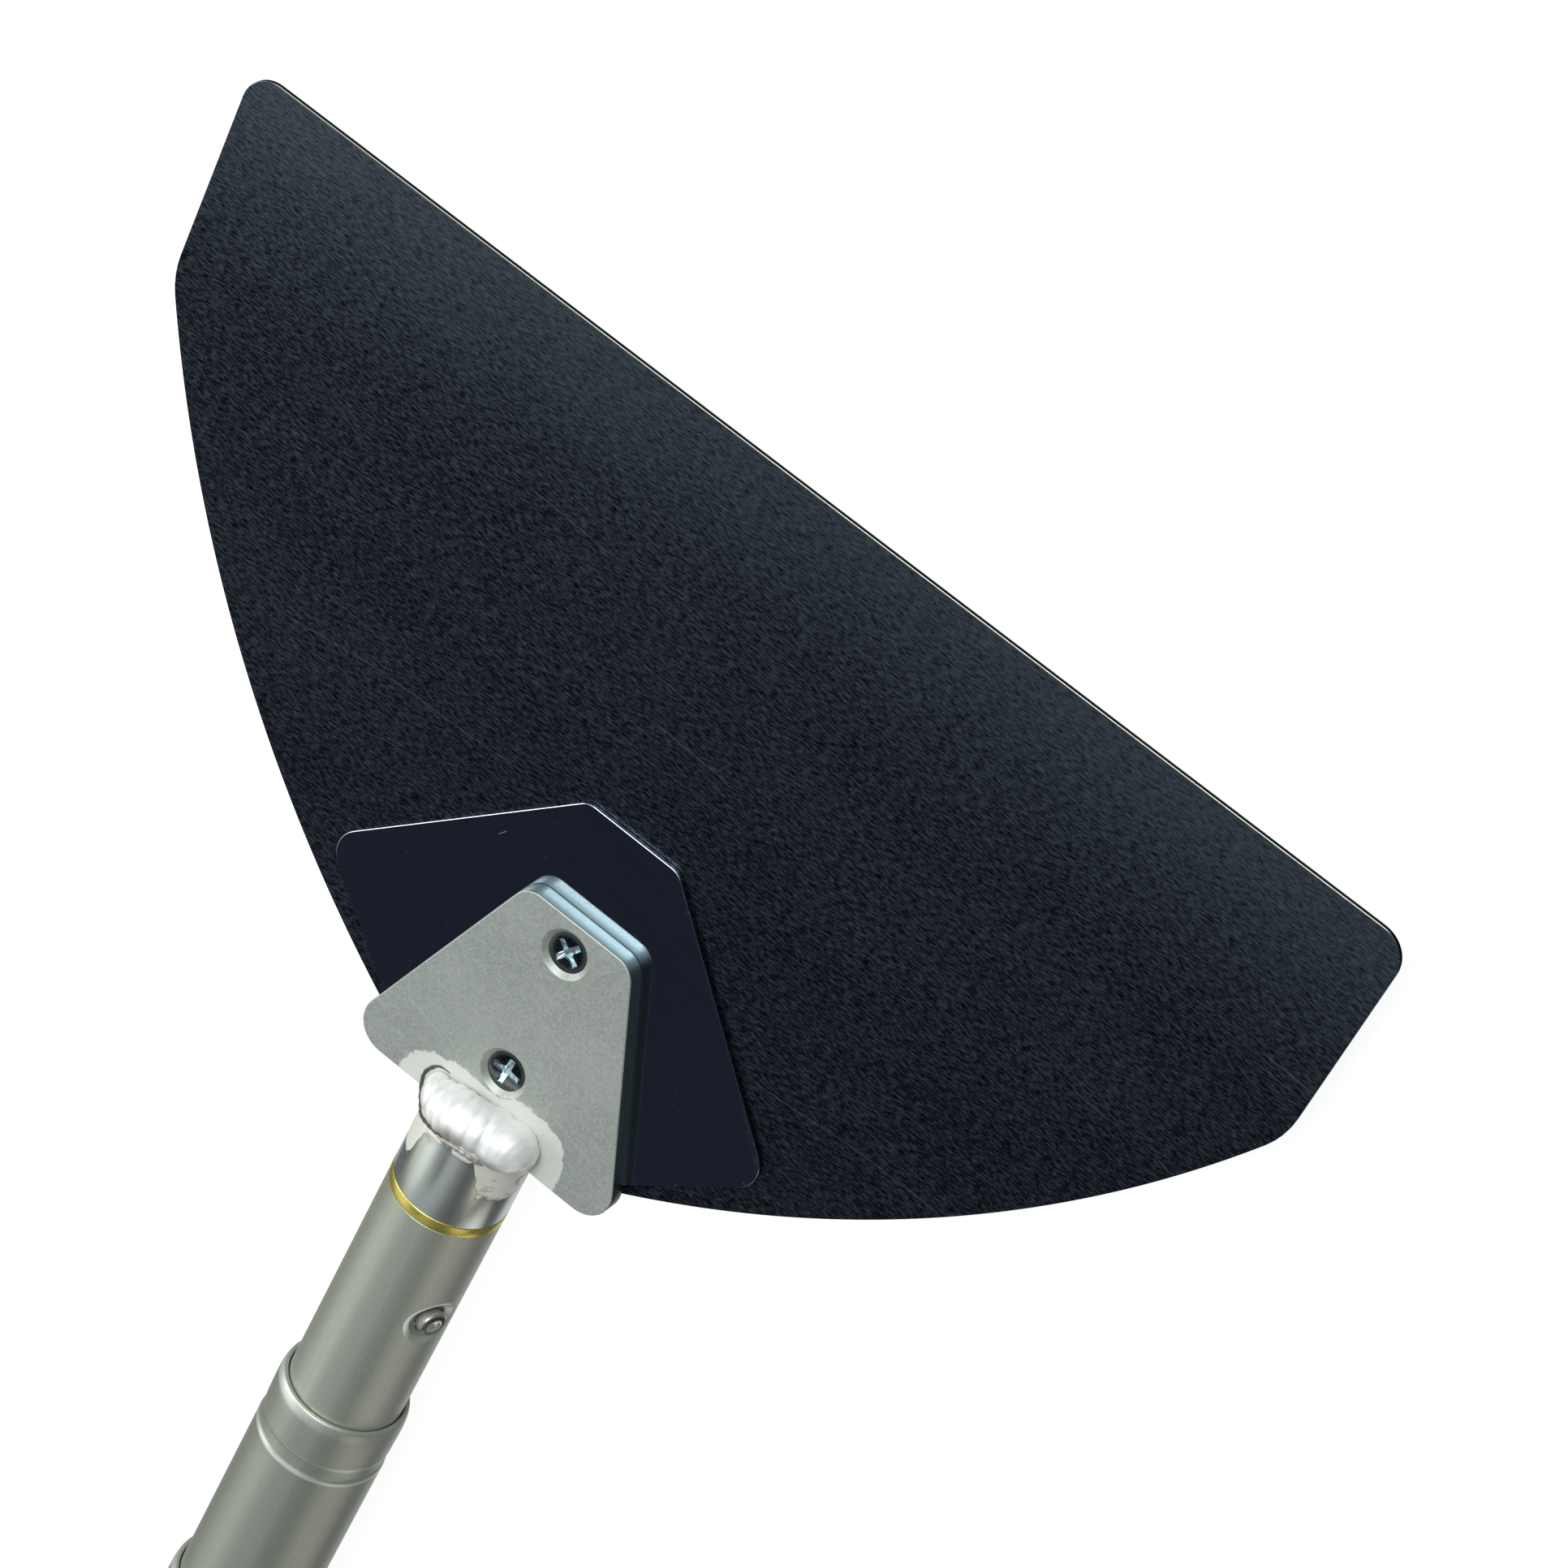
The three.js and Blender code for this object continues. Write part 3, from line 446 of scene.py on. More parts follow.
def tube_aluminium(name, tint, collar_of=None, dish=False):
    """Satin aluminium with painted highlights on a swaged collar's lip and steps and on the upper-left rim of
    the snap button's dish, whose floor gets painted shade.
    """
    finish = Finish(name, Metallic=0.62)
    grain = finish.noise((2.6, 1.5, 2.6), 3.0, 0.6)
    drawn = finish.noise((0.9, 0.012, 0.9), 3.0, 0.6, offset=6.0)
    body = finish.mix(grain, tuple(0.86 * c for c in tint), tuple(1.12 * c for c in tint))
    body = finish.mix(finish.step(drawn, 0.45, 0.75, 0.0, 0.25), body, tuple(1.25 * c for c in tint))
    nicks = finish.scratches(-52.0, 4.0, 0.5, 0.76, 15.0)
    body = finish.mix(finish.times(nicks, 0.6), body, (0.9, 0.9, 0.86))
    painted_highlight = None
    if collar_of:
        lip = (FRONT_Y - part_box(collar_of)[1].y) / MM
        behind = finish.minus(FRONT_Y / MM - lip, finish.y)
        # Painted highlights: a bright band behind the lip, stronger on the left side, and two bright lines at
        # the collar's groove and step.
        mouth = finish.times(finish.band(behind, 1.3, 1.9, 0.2), finish.step(finish.x, 8.0, -9.0, 0.12, 0.8))
        groove = finish.band(behind, 15.6, 0.6, 0.15, 0.75)
        shoulder = finish.band(behind, 11.2, 0.5, 0.15, 0.25)
        painted_highlight = finish.most([mouth, groove, shoulder])
    if dish:
        away, apart = finish.from_button()
        # The dish rim is painted bright as a painted highlight, strongest on the upper-left side. Its
        # Metallic is lowered there so the painted highlight shows as bright diffuse colour.
        lit_upper_left = finish.vector("DOT_PRODUCT", apart, (-0.29, 0.66, 0.69))
        lit_upper_left = finish.step(finish.math("DIVIDE", lit_upper_left, away), -0.1, 0.7, 0.1, 1.0)
        ring = finish.band(away, 5.25, 0.95, 0.35)
        painted_highlight = finish.times(ring, lit_upper_left)
        # Painted shade on the dish floor round the button.
        painted_dish_shade = finish.step(away, 3.9, 3.5, 0.0, 0.7)
        body = finish.mix(painted_dish_shade, body, (0.08, 0.08, 0.07))
        finish.set("Metallic", finish.minus(0.62, finish.times(painted_highlight, 0.62)))
    if painted_highlight:
        body = finish.mix(painted_highlight, body, (0.94, 0.96, 0.93))
    finish.set("Base Color", body)
    finish.set("Roughness", finish.step(grain, 0.3, 0.7, 0.33, 0.42))
    finish.bump(grain, 0.10, 0.04)
    return finish.material


def button_steel():
    """A bright tip on a darker rounded shoulder, with a near-black ring of painted shade between them."""
    finish = Finish("button_stainless_steel", Metallic=0.7)
    grain = finish.noise(1.8, 3.0, 0.6)
    away, _ = finish.from_button()
    body = finish.mix(grain, (0.66, 0.67, 0.65), (0.88, 0.89, 0.87))
    body = finish.mix(finish.step(away, 2.3, 2.8, 0.0, 0.9), body, (0.42, 0.41, 0.36))
    # A near-black ring of painted shade near the top of the button's shoulder.
    band = finish.band(away, 2.25, 0.55, 0.3, 0.9)
    finish.set("Base Color", finish.mix(band, body, (0.05, 0.05, 0.045)))
    finish.set("Roughness", finish.step(grain, 0.3, 0.7, 0.18, 0.28))
    finish.bump(grain, 0.10, 0.05)
    return finish.material


def plain_metal(name, dark, light, low, high, frequency=1.8, metallic=1.0, depth=0.10):
    """A metal or plastic whose tone and gloss vary a little with its grain."""
    finish = Finish(name, Metallic=metallic)
    grain = finish.noise(frequency, 3.0, 0.6)
    finish.set("Base Color", finish.mix(grain, dark, light))
    finish.set("Roughness", finish.step(grain, 0.3, 0.7, low, high))
    finish.bump(grain, depth, 0.05)
    return finish.material


def grip_foam():
    finish = Finish("grip_closed_cell_foam", Metallic=0.0)
    cells = finish.node("ShaderNodeTexVoronoi", {"Vector": finish.position, "Scale": 1.5}).outputs["Distance"]
    grain = finish.noise(0.8, 4.0, 0.65)
    shine = finish.step(finish.noise((0.05, 0.02, 0.05), 2.0), 0.4, 0.7)
    finish.set("Base Color", finish.mix(grain, (0.012, 0.013, 0.014), (0.034, 0.035, 0.037)))
    finish.set("Roughness", finish.minus(0.92, finish.times(shine, 0.14)))
    finish.set("Specular IOR Level", 0.35)
    finish.bump(finish.plus(cells, grain), 0.35, 0.12)
    return finish.material


OUTER_TINT = (0.445, 0.460, 0.390)
LOOKS = {
    "blade_steel": blade_steel(),
    "stiffener_steel": stiffener_steel(),
    "bracket_aluminium": bracket_aluminium(),
    "neck_aluminium": neck_aluminium(),
    "weld_metal": weld_metal(),
    "tube_aluminium": tube_aluminium("top_tube_satin_aluminium", (0.500, 0.515, 0.437), dish=True),
    "middle_tube": tube_aluminium("middle_tube_satin_aluminium", OUTER_TINT, collar_of="middle_tube"),
    "bottom_tube": tube_aluminium("bottom_tube_satin_aluminium", OUTER_TINT, collar_of="bottom_tube"),
    "brass": plain_metal("ring_brass", (0.78, 0.62, 0.13), (0.92, 0.76, 0.20), 0.20, 0.32, metallic=0.8),
    "screw_steel": screw_zinc(),
    "zinc_steel": plain_metal("zinc_plated_steel", (0.52, 0.54, 0.56), (0.70, 0.72, 0.73), 0.22, 0.36),
    "button_steel": button_steel(),
    "lock_plastic": plain_metal(
        "lock_nylon", (0.015, 0.015, 0.016), (0.03, 0.03, 0.032), 0.4, 0.55, metallic=0.0),
    "grip_foam": grip_foam(),
    "cap_rubber": plain_metal(
        "cap_moulded_rubber", (0.014, 0.014, 0.015), (0.03, 0.03, 0.031), 0.55, 0.72, 0.9, 0.0, 0.2),
}


# ---- mesh building ------------------------------------------------------------------------------------

def keep(piece, body, slot, *nodes, look=None, others=()):
    """Puts a piece on its body, with its slot's look or another, in place of the CAD nodes."""
    looks = [face.material_index for face in piece.data.polygons]
    piece.data.materials.clear()
    for material in (LOOKS[look or slot], *others):
        piece.data.materials.append(material)
    piece.data.polygons.foreach_set("material_index", looks if others else [0] * len(looks))
    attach(piece, body)
    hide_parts(*nodes)
    return piece


def linked(name, mesh):
    piece = bpy.data.objects.new(name, mesh)
    scene.collection.objects.link(piece)
    return piece


def shaded(mesh, sharp):
    """Smooth shading up to an angle, with faces marked flat kept flat."""
    smooth = [face.use_smooth for face in mesh.polygons]
    mesh.set_sharp_from_angle(angle=math.radians(sharp))
    mesh.polygons.foreach_set("use_smooth", smooth)


def built(name, bm, sharp=32):
    """An object from a bmesh."""
    bmesh.ops.recalc_face_normals(bm, faces=bm.faces)
    mesh = bpy.data.meshes.new(name)
    bm.to_mesh(mesh)
    bm.free()
    shaded(mesh, sharp)
    return linked(name, mesh)


def filleted(points, radii, steps=6, closed=True):
    """A 2D line with its corners rounded by the radii, one for each corner."""
    made = []
    count = len(points)
    for i, (point, radius) in enumerate(zip(points, radii)):
        corner = Vector(point)
        if radius <= 0 or (not closed and i in (0, count - 1)):
            made.append(corner)
            continue
        arriving = (corner - Vector(points[i - 1])).normalized()
        leaving = (Vector(points[(i + 1) % count]) - corner).normalized()
        turn = arriving.angle(leaving)
        tangent = radius * math.tan(turn / 2)
        side = Vector((-arriving.y, arriving.x))
        if arriving.cross(leaving) < 0:
            side.negate()
        start = corner - arriving * tangent
        centre = start + side * radius
        for k in range(steps + 1):
            angle = turn * k / steps
            made.append(centre - side * radius * math.cos(angle) + arriving * radius * math.sin(angle))
    return made


def smoothed(points, steps=4):
    """A Catmull-Rom line through the points."""
    made = []
    padded = [points[0], *points, points[-1]]
    for i in range(1, len(padded) - 2):
        p0, p1, p2, p3 = (Vector(p) for p in padded[i - 1:i + 3])
        for k in range(steps):
            t = k / steps
            made.append(0.5 * (2 * p1 + (p2 - p0) * t + (2 * p0 - 5 * p1 + 4 * p2 - p3) * t * t
                               + (3 * p1 - p0 - 3 * p2 + p3) * t ** 3))
    made.append(Vector(points[-1]))
    return made


def bridge(bm, first, second):
    count = len(first)
    for i in range(count):
        j = (i + 1) % count
        face = bm.faces.new((first[i], first[j], second[j], second[i]))
        face.smooth = True


def inset(points, distance):
    """A closed counter-clockwise line moved inwards by a distance."""
    made = []
    count = len(points)
    for i in range(count):
        before = (points[i] - points[i - 1]).normalized()
        after = (points[(i + 1) % count] - points[i]).normalized()
        normal = Vector((-before.y - after.y, before.x + after.x)).normalized()
        spread = max(0.5, normal.dot(Vector((-before.y, before.x))))
        made.append(points[i] + normal * distance / spread)
    return made


EDGE_STEPS = 3
HOLE_SIDES = 64
TURN_SIDES = 144


def plate(name, outline, bottom, top, edge, holes=()):
    """A flat plate with softly rounded edges. A hole is (station, [radius, height] points from the top)."""
    bm = bmesh.new()
    turns = [math.pi / 2 * k / EDGE_STEPS for k in range(EDGE_STEPS + 1)]
    levels = [(edge * (1 - math.sin(t)), bottom + edge * (1 - math.cos(t))) for t in turns]
    levels += [(edge * (1 - math.cos(t)), top - edge * (1 - math.sin(t))) for t in turns]
    rings = []
    for distance, height in levels:
        line = inset(outline, distance) if distance > 1e-6 else outline
        rings.append([bm.verts.new(place(p.x, -p.y, height)) for p in line])
    for low, high in zip(rings, rings[1:]):
        bridge(bm, low, high)
    edges = {"top": [rings[-1]], "bottom": [rings[0]]}
    for station, profile in holes:
        loops = []
        for radius, height in profile:
            angles = [2 * math.pi * k / HOLE_SIDES for k in range(HOLE_SIDES)]
            loops.append([bm.verts.new(place(radius * math.cos(a), station + radius * math.sin(a), height))
                          for a in angles])
        for low, high in zip(loops, loops[1:]):
            bridge(bm, low, high)
        edges["top"].append(loops[0])
        edges["bottom"].append(loops[-1])
    for side in edges.values():
        border = [bm.edges.get((ring[i - 1], ring[i])) for ring in side for i in range(len(ring))]
        filled = bmesh.ops.triangle_fill(bm, edges=border, use_beauty=True, use_dissolve=False)
        for item in filled["geom"]:
            if isinstance(item, bmesh.types.BMFace):
                item.smooth = False
    return built(name, bm, 40)


def skin(bm, rings):
    """Faces between rings of points, closed round unless the first is a tip. A tip is a ring of one."""
    ends = [(rings[-1], rings[0])] if len(rings[0]) > 1 else []
    for first, second in list(zip(rings, rings[1:])) + ends:
        if 1 in (len(first), len(second)):
            tip, ring = (first, second) if len(first) == 1 else (second, first)
            for i in range(len(ring)):
                bm.faces.new((tip[0], ring[i], ring[(i + 1) % len(ring)])).smooth = True
        else:
            bridge(bm, first, second)


def revolved(name, profile, spot, sides, sharp, rim):
    """A body of revolution from [radius, along] points.

    `spot` places a (radius, along, angle), and `rim` gives the radius that such a point really has.
    """
    bm = bmesh.new()
    rings = []
    for radius, along in profile:
        turns = [2 * math.pi * k / sides for k in range(sides)] if radius > 1e-6 else [0]
        reach = rim if rim and radius > 1e-6 else lambda radius, along, angle: radius
        rings.append([bm.verts.new(spot(reach(radius, along, t), along, t)) for t in turns])
    skin(bm, rings)
    return built(name, bm, sharp)


def turned(name, profile, sides=TURN_SIDES, sharp=32, rim=None):
    """A body of revolution about the pole from [radius, station] points."""
    def spot(radius, station, angle):
        return place(radius * math.sin(angle), station, AXIS_HEIGHT + radius * math.cos(angle))
    return revolved(name, profile, spot, sides, sharp, rim)


def upright(name, middle, profile, sides=64, sharp=32, rim=None):
    """A body of revolution about a vertical axis at a station, from [radius, height] points."""
    def spot(radius, height, angle):
        return place(radius * math.cos(angle), middle + radius * math.sin(angle), height)
    return revolved(name, profile, spot, sides, sharp, rim)


def applied(piece):
    """Makes the piece's modifiers its mesh."""
    depsgraph = bpy.context.evaluated_depsgraph_get()
    mesh = bpy.data.meshes.new_from_object(piece.evaluated_get(depsgraph))
    piece.modifiers.clear()
    piece.data = mesh
    mesh.name = piece.name
    return piece


def carve(piece, cutter, sharp=32):
    """Cuts one piece out of another and removes the cutter."""
    modifier = piece.modifiers.new("carve", "BOOLEAN")
    modifier.operation = "DIFFERENCE"
    modifier.solver = "EXACT"
    modifier.object = cutter
    bpy.context.view_layer.update()
    applied(piece)
    bpy.data.objects.remove(cutter)
    shaded(piece.data, sharp)
    return piece


def prism(name, loops):
    """A closed body through loops of 3D points that have the same count."""
    bm = bmesh.new()
    rings = [[bm.verts.new(p) for p in loop] for loop in loops]
    for first, second in zip(rings, rings[1:]):
        bridge(bm, first, second)
    for ring in (rings[0], rings[-1]):
        bm.faces.new(ring).smooth = False
    return built(name, bm)


# ---- blade, stiffener and bracket ---------------------------------------------------------------------

TAIL_STATION = 157.8
TAIL_HALF_WIDTH = 29.6
SIDE_RADIUS = 277.7
SHOULDER = (133.5, 48.5)
SHOULDER_BLEND = 4.5
FRONT_CORNER = (134.4, 6.5)
ARC_STEPS = 56


def mirrored_outline(corners, steps=8):
    """A counter-clockwise outline from (half-width, station, radius) corners of its right half."""
    right = [(w, -s) for w, s, _ in corners]
    left = [(-w, -s) for w, s, _ in corners]
    radii = [r for _, _, r in corners]
    points = left + right[::-1]
    return filleted(points, radii + radii[::-1], steps)


def blade_outline():
    shoulder = Vector((SHOULDER[0], -SHOULDER[1]))
    tail = Vector((TAIL_HALF_WIDTH, -TAIL_STATION))
    chord = tail - shoulder
    rise = math.sqrt(SIDE_RADIUS ** 2 - chord.length_squared / 4)
    centre = (shoulder + tail) / 2 + Vector((chord.y, -chord.x)).normalized() * rise
    spread = [math.atan2(p.y - centre.y, p.x - centre.x) for p in (shoulder, tail)]
    blend = SHOULDER_BLEND / SIDE_RADIUS
    arc = [spread[0] - blend + (spread[1] - spread[0] + blend) * k / ARC_STEPS for k in range(ARC_STEPS + 1)]
    side = [centre + SIDE_RADIUS * Vector((math.cos(a), math.sin(a))) for a in arc]
    corner = Vector((FRONT_CORNER[0], 0))
    start = shoulder.lerp(corner, SHOULDER_BLEND / SHOULDER[1])
    bend = [start.lerp(shoulder, t).lerp(shoulder.lerp(side[0], t), t) for t in (0, 0.25, 0.5, 0.75)]
    front = filleted([(0, 0), corner, start], [0, FRONT_CORNER[1], 0], 12, closed=False)[1:-1]
    right = front + bend + side
    left = [Vector((-p.x, p.y)) for p in right]
    return left + right[::-1]


HOLE_RADIUS = 2.75
SINK_RADIUS = 5.3
SCREWS = {"front": (station_of((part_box("front_screw")[0].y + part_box("front_screw")[1].y) / 2), 56.0),
          "rear": (station_of((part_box("rear_screw")[0].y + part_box("rear_screw")[1].y) / 2), -4.0)}


def plain_hole(bottom, top):
    return [(HOLE_RADIUS + 0.1, top), (HOLE_RADIUS, top - 0.1), (HOLE_RADIUS, bottom + 0.1),
            (HOLE_RADIUS + 0.1, bottom)]


def sunk_hole(bottom, top):
    throat = top - (SINK_RADIUS - HOLE_RADIUS)
    return [(SINK_RADIUS + 0.12, top), (SINK_RADIUS + 0.03, top - 0.04), (SINK_RADIUS - 0.1, top - 0.15),
            (HOLE_RADIUS, throat), (HOLE_RADIUS, bottom + 0.1), (HOLE_RADIUS + 0.1, bottom)]


def levels_of(node):
    low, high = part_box(node)
    return height_of(low.z), height_of(high.z)


STATIONS = [station for station, _ in SCREWS.values()]
low, high = levels_of("blade")
keep(plate("blade_sheet", blade_outline(), low, high, 0.16, [(s, plain_hole(low, high)) for s in STATIONS]),
     "head_section", "blade_steel", "blade")

low, high = levels_of("stiffener_plate")
outline = mirrored_outline([(11.1, 85.6, 4), (56.2, 132, 6.5), (26.6, TAIL_STATION, 2)])
keep(plate("stiffener_sheet", outline, low, high, 0.18, [(s, plain_hole(low, high)) for s in STATIONS]),
     "head_section", "stiffener_steel", "stiffener_plate")

low, high = levels_of("bracket_plate")
outline = mirrored_outline([(13.1, 107.3, 5), (34.5, 163.5, 6.5)], 10)
keep(plate("bracket", outline, low, high, 0.3, [(s, sunk_hole(low, high)) for s in STATIONS]),
     "head_section", "bracket_aluminium", "bracket_plate")


# ---- screws, washers and nuts -------------------------------------------------------------------------

HEAD_RADIUS = 4.55
SHANK_RADIUS = 2.4
RECESS = {"reach": 3.1, "half_width": 0.62, "depth": 1.35, "floor_reach": 1.9, "floor_half_width": 0.42}
THREAD_PITCH = 0.8
THREAD_DEPTH = 0.35
NUT_FLATS = 4.0


def cross_loop(station, turn, reach, half, height):
    corners = [(half, half), (half, reach), (-half, reach)]
    points = []
    for quarter in range(4):
        angle = math.radians(90 * quarter)
        for x, y in corners:
            points.append(Matrix.Rotation(angle, 2) @ Vector((x, y)))
    rounded = filleted(points, [0.5, 0.25, 0.25] * 4, 3)
    spin = Matrix.Rotation(math.radians(turn), 2)
    return [place(p.x, station - p.y, height) for p in (spin @ q for q in rounded)]


def hexagon(radius, height, angle):
    return min(radius, NUT_FLATS / math.cos((angle + math.pi / 6) % (math.pi / 3) - math.pi / 6))


def thread(top, bottom):
    """Zigzag [radius, height] points from one height down to the other."""
    count = int((top - bottom) / THREAD_PITCH)
    points = []
    for k in range(count):
        height = top - k * THREAD_PITCH
        points += [(SHANK_RADIUS, height), (SHANK_RADIUS - THREAD_DEPTH, height - THREAD_PITCH / 2)]
    return points


for prefix, (station, turn) in SCREWS.items():
    tip, head = levels_of(f"{prefix}_screw")
    neck_height = head - (HEAD_RADIUS - SHANK_RADIUS)
    profile = [(0, head + 0.05), (2.9, head + 0.02), (4.15, head - 0.04), (4.42, head - 0.12),
               (HEAD_RADIUS, head - 0.3), (HEAD_RADIUS - 0.12, head - 0.45), (SHANK_RADIUS, neck_height),
               (SHANK_RADIUS, -1)]
    profile += thread(-1.2, tip + 0.5) + [(SHANK_RADIUS - 0.5, tip), (0, tip)]
    screw = upright(f"{prefix}_screw_detail", station, profile, sharp=28)
    reach, half, depth = RECESS["reach"], RECESS["half_width"], RECESS["depth"]
    loops = [cross_loop(station, turn, RECESS["floor_reach"], RECESS["floor_half_width"], head - depth),
             cross_loop(station, turn, reach, half, head - 0.16),
             cross_loop(station, turn, reach + 0.25, half + 0.2, head + 0.1)]
    keep(carve(screw, prism("recess", loops)), "head_section", "screw_steel", f"{prefix}_screw")

    low, high = levels_of(f"{prefix}_washer")
    ring = filleted([(2.75, low), (5, low), (5, high), (2.75, high)], [0.12, 0.25, 0.12, 0.12], 3)
    keep(upright(f"{prefix}_washer_detail", station, ring),
         "head_section", "zinc_steel", f"{prefix}_washer")

    low, high = levels_of(f"{prefix}_lock_nut")
    collar = low + 1.5
    corner = NUT_FLATS / math.cos(math.pi / 6)
    ring = [(2.65, high), (NUT_FLATS, high), (corner - 0.25, high - 0.15), (corner, high - 0.4),
            (corner, collar + 0.3), (corner - 0.3, collar), (NUT_FLATS - 0.2, collar - 0.15),
            (NUT_FLATS - 0.25, low + 0.5), (NUT_FLATS - 0.7, low + 0.1), (3.0, low), (2.75, low + 0.15),
            (2.65, low + 0.4)]
    keep(upright(f"{prefix}_nut_detail", station, ring, 96, 25, hexagon),
         "head_section", "zinc_steel", f"{prefix}_lock_nut")


# ---- neck, ring and welds -----------------------------------------------------------------------------

NECK = {"face": 160.0, "shoulder": 180.9, "end": 236.0, "radius": 12.5, "spigot": 10.9, "bore": 8.5}
BORE_START = 192.0
corners = [(0, NECK["face"]), (NECK["radius"], NECK["face"]), (NECK["radius"], NECK["shoulder"]),
           (NECK["spigot"], NECK["shoulder"]), (NECK["spigot"], NECK["end"]), (NECK["bore"], NECK["end"]),
           (NECK["bore"], BORE_START), (0, BORE_START)]
rounded = filleted(corners, [0, 0.6, 0.12, 0, 0.4, 0.2, 0, 0], 4, closed=False)
neck = turned("neck_detail", rounded)
slot_low, slot_high = levels_of("bracket_plate")
slot_rear = 163.5 + 0.3
side = 20.0
slot_box = [[place(x, s, h) for x, s in ((-side, 150), (side, 150), (side, slot_rear), (-side, slot_rear))]
            for h in (slot_low - 0.3, slot_high + 0.3)]
keep(carve(neck, prism("slot", slot_box)), "head_section", "neck_aluminium", "neck")

RING_LOW, RING_HIGH = (station_of(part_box("brass_ring")[i].y) for i in (1, 0))
ring = filleted([(11.15, RING_LOW), (12.55, RING_LOW), (12.55, RING_HIGH), (11.15, RING_HIGH)],
                [0.05, 0.3, 0.3, 0.05], 4)
keep(turned("brass_ring_detail", ring), "head_section", "brass", "brass_ring")


LEAN = math.sqrt(0.5)
ROOT_HEIGHT = 9.0
FILLET = Matrix(((1, 0, 0), (0, -LEAN, LEAN), (0, LEAN, LEAN))).transposed()


def fillet_point(across, up, out):
    """A point from millimetres across, up the fillet's slope and out of it."""
    return place(0, NECK["face"], ROOT_HEIGHT) + FILLET @ Vector((across, up, out)) * MM


def bead_skin(bm, lumps, slices, sides, crease):
    """The skin round overlapping ellipsoids along a fillet, each (centre, half-sizes, turn, tilt in degrees).

    Centres are (across, up the slope, out of it). The skin is found from a spine through the centres, and
    `crease` is how sharply one lump meets the next.
    """
    centres = np.array([centre for centre, _, _, _ in lumps], dtype=float)
    shapes = []
    for _, half, turn, tilt in lumps:
        facing = Matrix.Rotation(math.radians(turn), 3, "Z") @ Matrix.Rotation(math.radians(tilt), 3, "Y")
        facing = np.array(facing)
        shapes.append(facing @ np.diag(1.0 / np.square(half)) @ facing.T)
    shapes = np.array(shapes)

    def spine(x):
        return np.array([x] + [np.interp(x, centres[:, 0], centres[:, i]) for i in (1, 2)])

    def inside(x):
        apart = spine(x) - centres
        return (np.einsum("ki,kij,kj->k", apart, shapes, apart) < 1).any()

    reach = np.linspace(centres[0, 0] - 8, centres[-1, 0] + 8, 1200)
    held = [x for x in reach if inside(x)]
    first, last = held[0], held[-1]
    angles = np.arange(sides) * 2 * math.pi / sides
    rays = np.stack([np.zeros(sides), np.cos(angles), np.sin(angles)], axis=1)
    rings = [[bm.verts.new(fillet_point(*spine(first)))]]
    for i in range(1, slices):
        x = (first + last) / 2 - (last - first) / 2 * math.cos(math.pi * i / slices)
        apart = spine(x) - centres
        square = np.einsum("si,kij,sj->sk", rays, shapes, rays)
        cross = np.einsum("ki,kij,sj->sk", apart, shapes, rays)
        rest = np.einsum("ki,kij,kj->k", apart, shapes, apart) - 1
        root = cross ** 2 - square * rest
        exits = np.where(root > 0, (-cross + np.sqrt(np.maximum(root, 0))) / square, 0)
        exits = np.maximum(exits, 0)
        distance = np.log(np.exp(crease * exits).sum(axis=1) / len(lumps)) / crease
        distance = np.maximum(distance, exits.max(axis=1) * 0.985)
        ring = []
        for ray, far in zip(rays, distance):
            far += 0.035 * math.sin(2.3 * x + 4 * ray[1]) * math.sin(1.7 * x + 5 * ray[2])
            ring.append(bm.verts.new(fillet_point(*(spine(x) + ray * max(far, 0.02)))))
        rings.append(ring)
    rings.append([bm.verts.new(fillet_point(*spine(last)))])
    skin(bm, rings)


def strand(bm, points, radius, material=0, sides=10):
    """A thin rounded run of metal along a line of points, tapered at both ends."""
    line = smoothed(points, 5)
    rings = []
    for i, point in enumerate(line):
        ahead = (line[min(i + 1, len(line) - 1)] - line[max(i - 1, 0)]).normalized()
        side = ahead.orthogonal().normalized() if i == 0 else (side - ahead * side.dot(ahead)).normalized()
        other = ahead.cross(side)
        share = i / (len(line) - 1)
        taper = min(1.0, 0.15 + 5 * share, 0.15 + 5 * (1 - share))
        size = radius * MM * taper * (1 + 0.18 * math.sin(1.9 * i))
        rings.append([bm.verts.new(point + (side * math.cos(t) + other * math.sin(t)) * size)
                      for t in (2 * math.pi * k / sides for k in range(sides))])
    before = len(bm.faces)
    for first, second in zip(rings, rings[1:]):
        bridge(bm, first, second)
    for ring in (rings[0], rings[-1]):
        bm.faces.new(ring).smooth = True
    bm.faces.ensure_lookup_table()
    for face in bm.faces[before:]:
        face.material_index = material


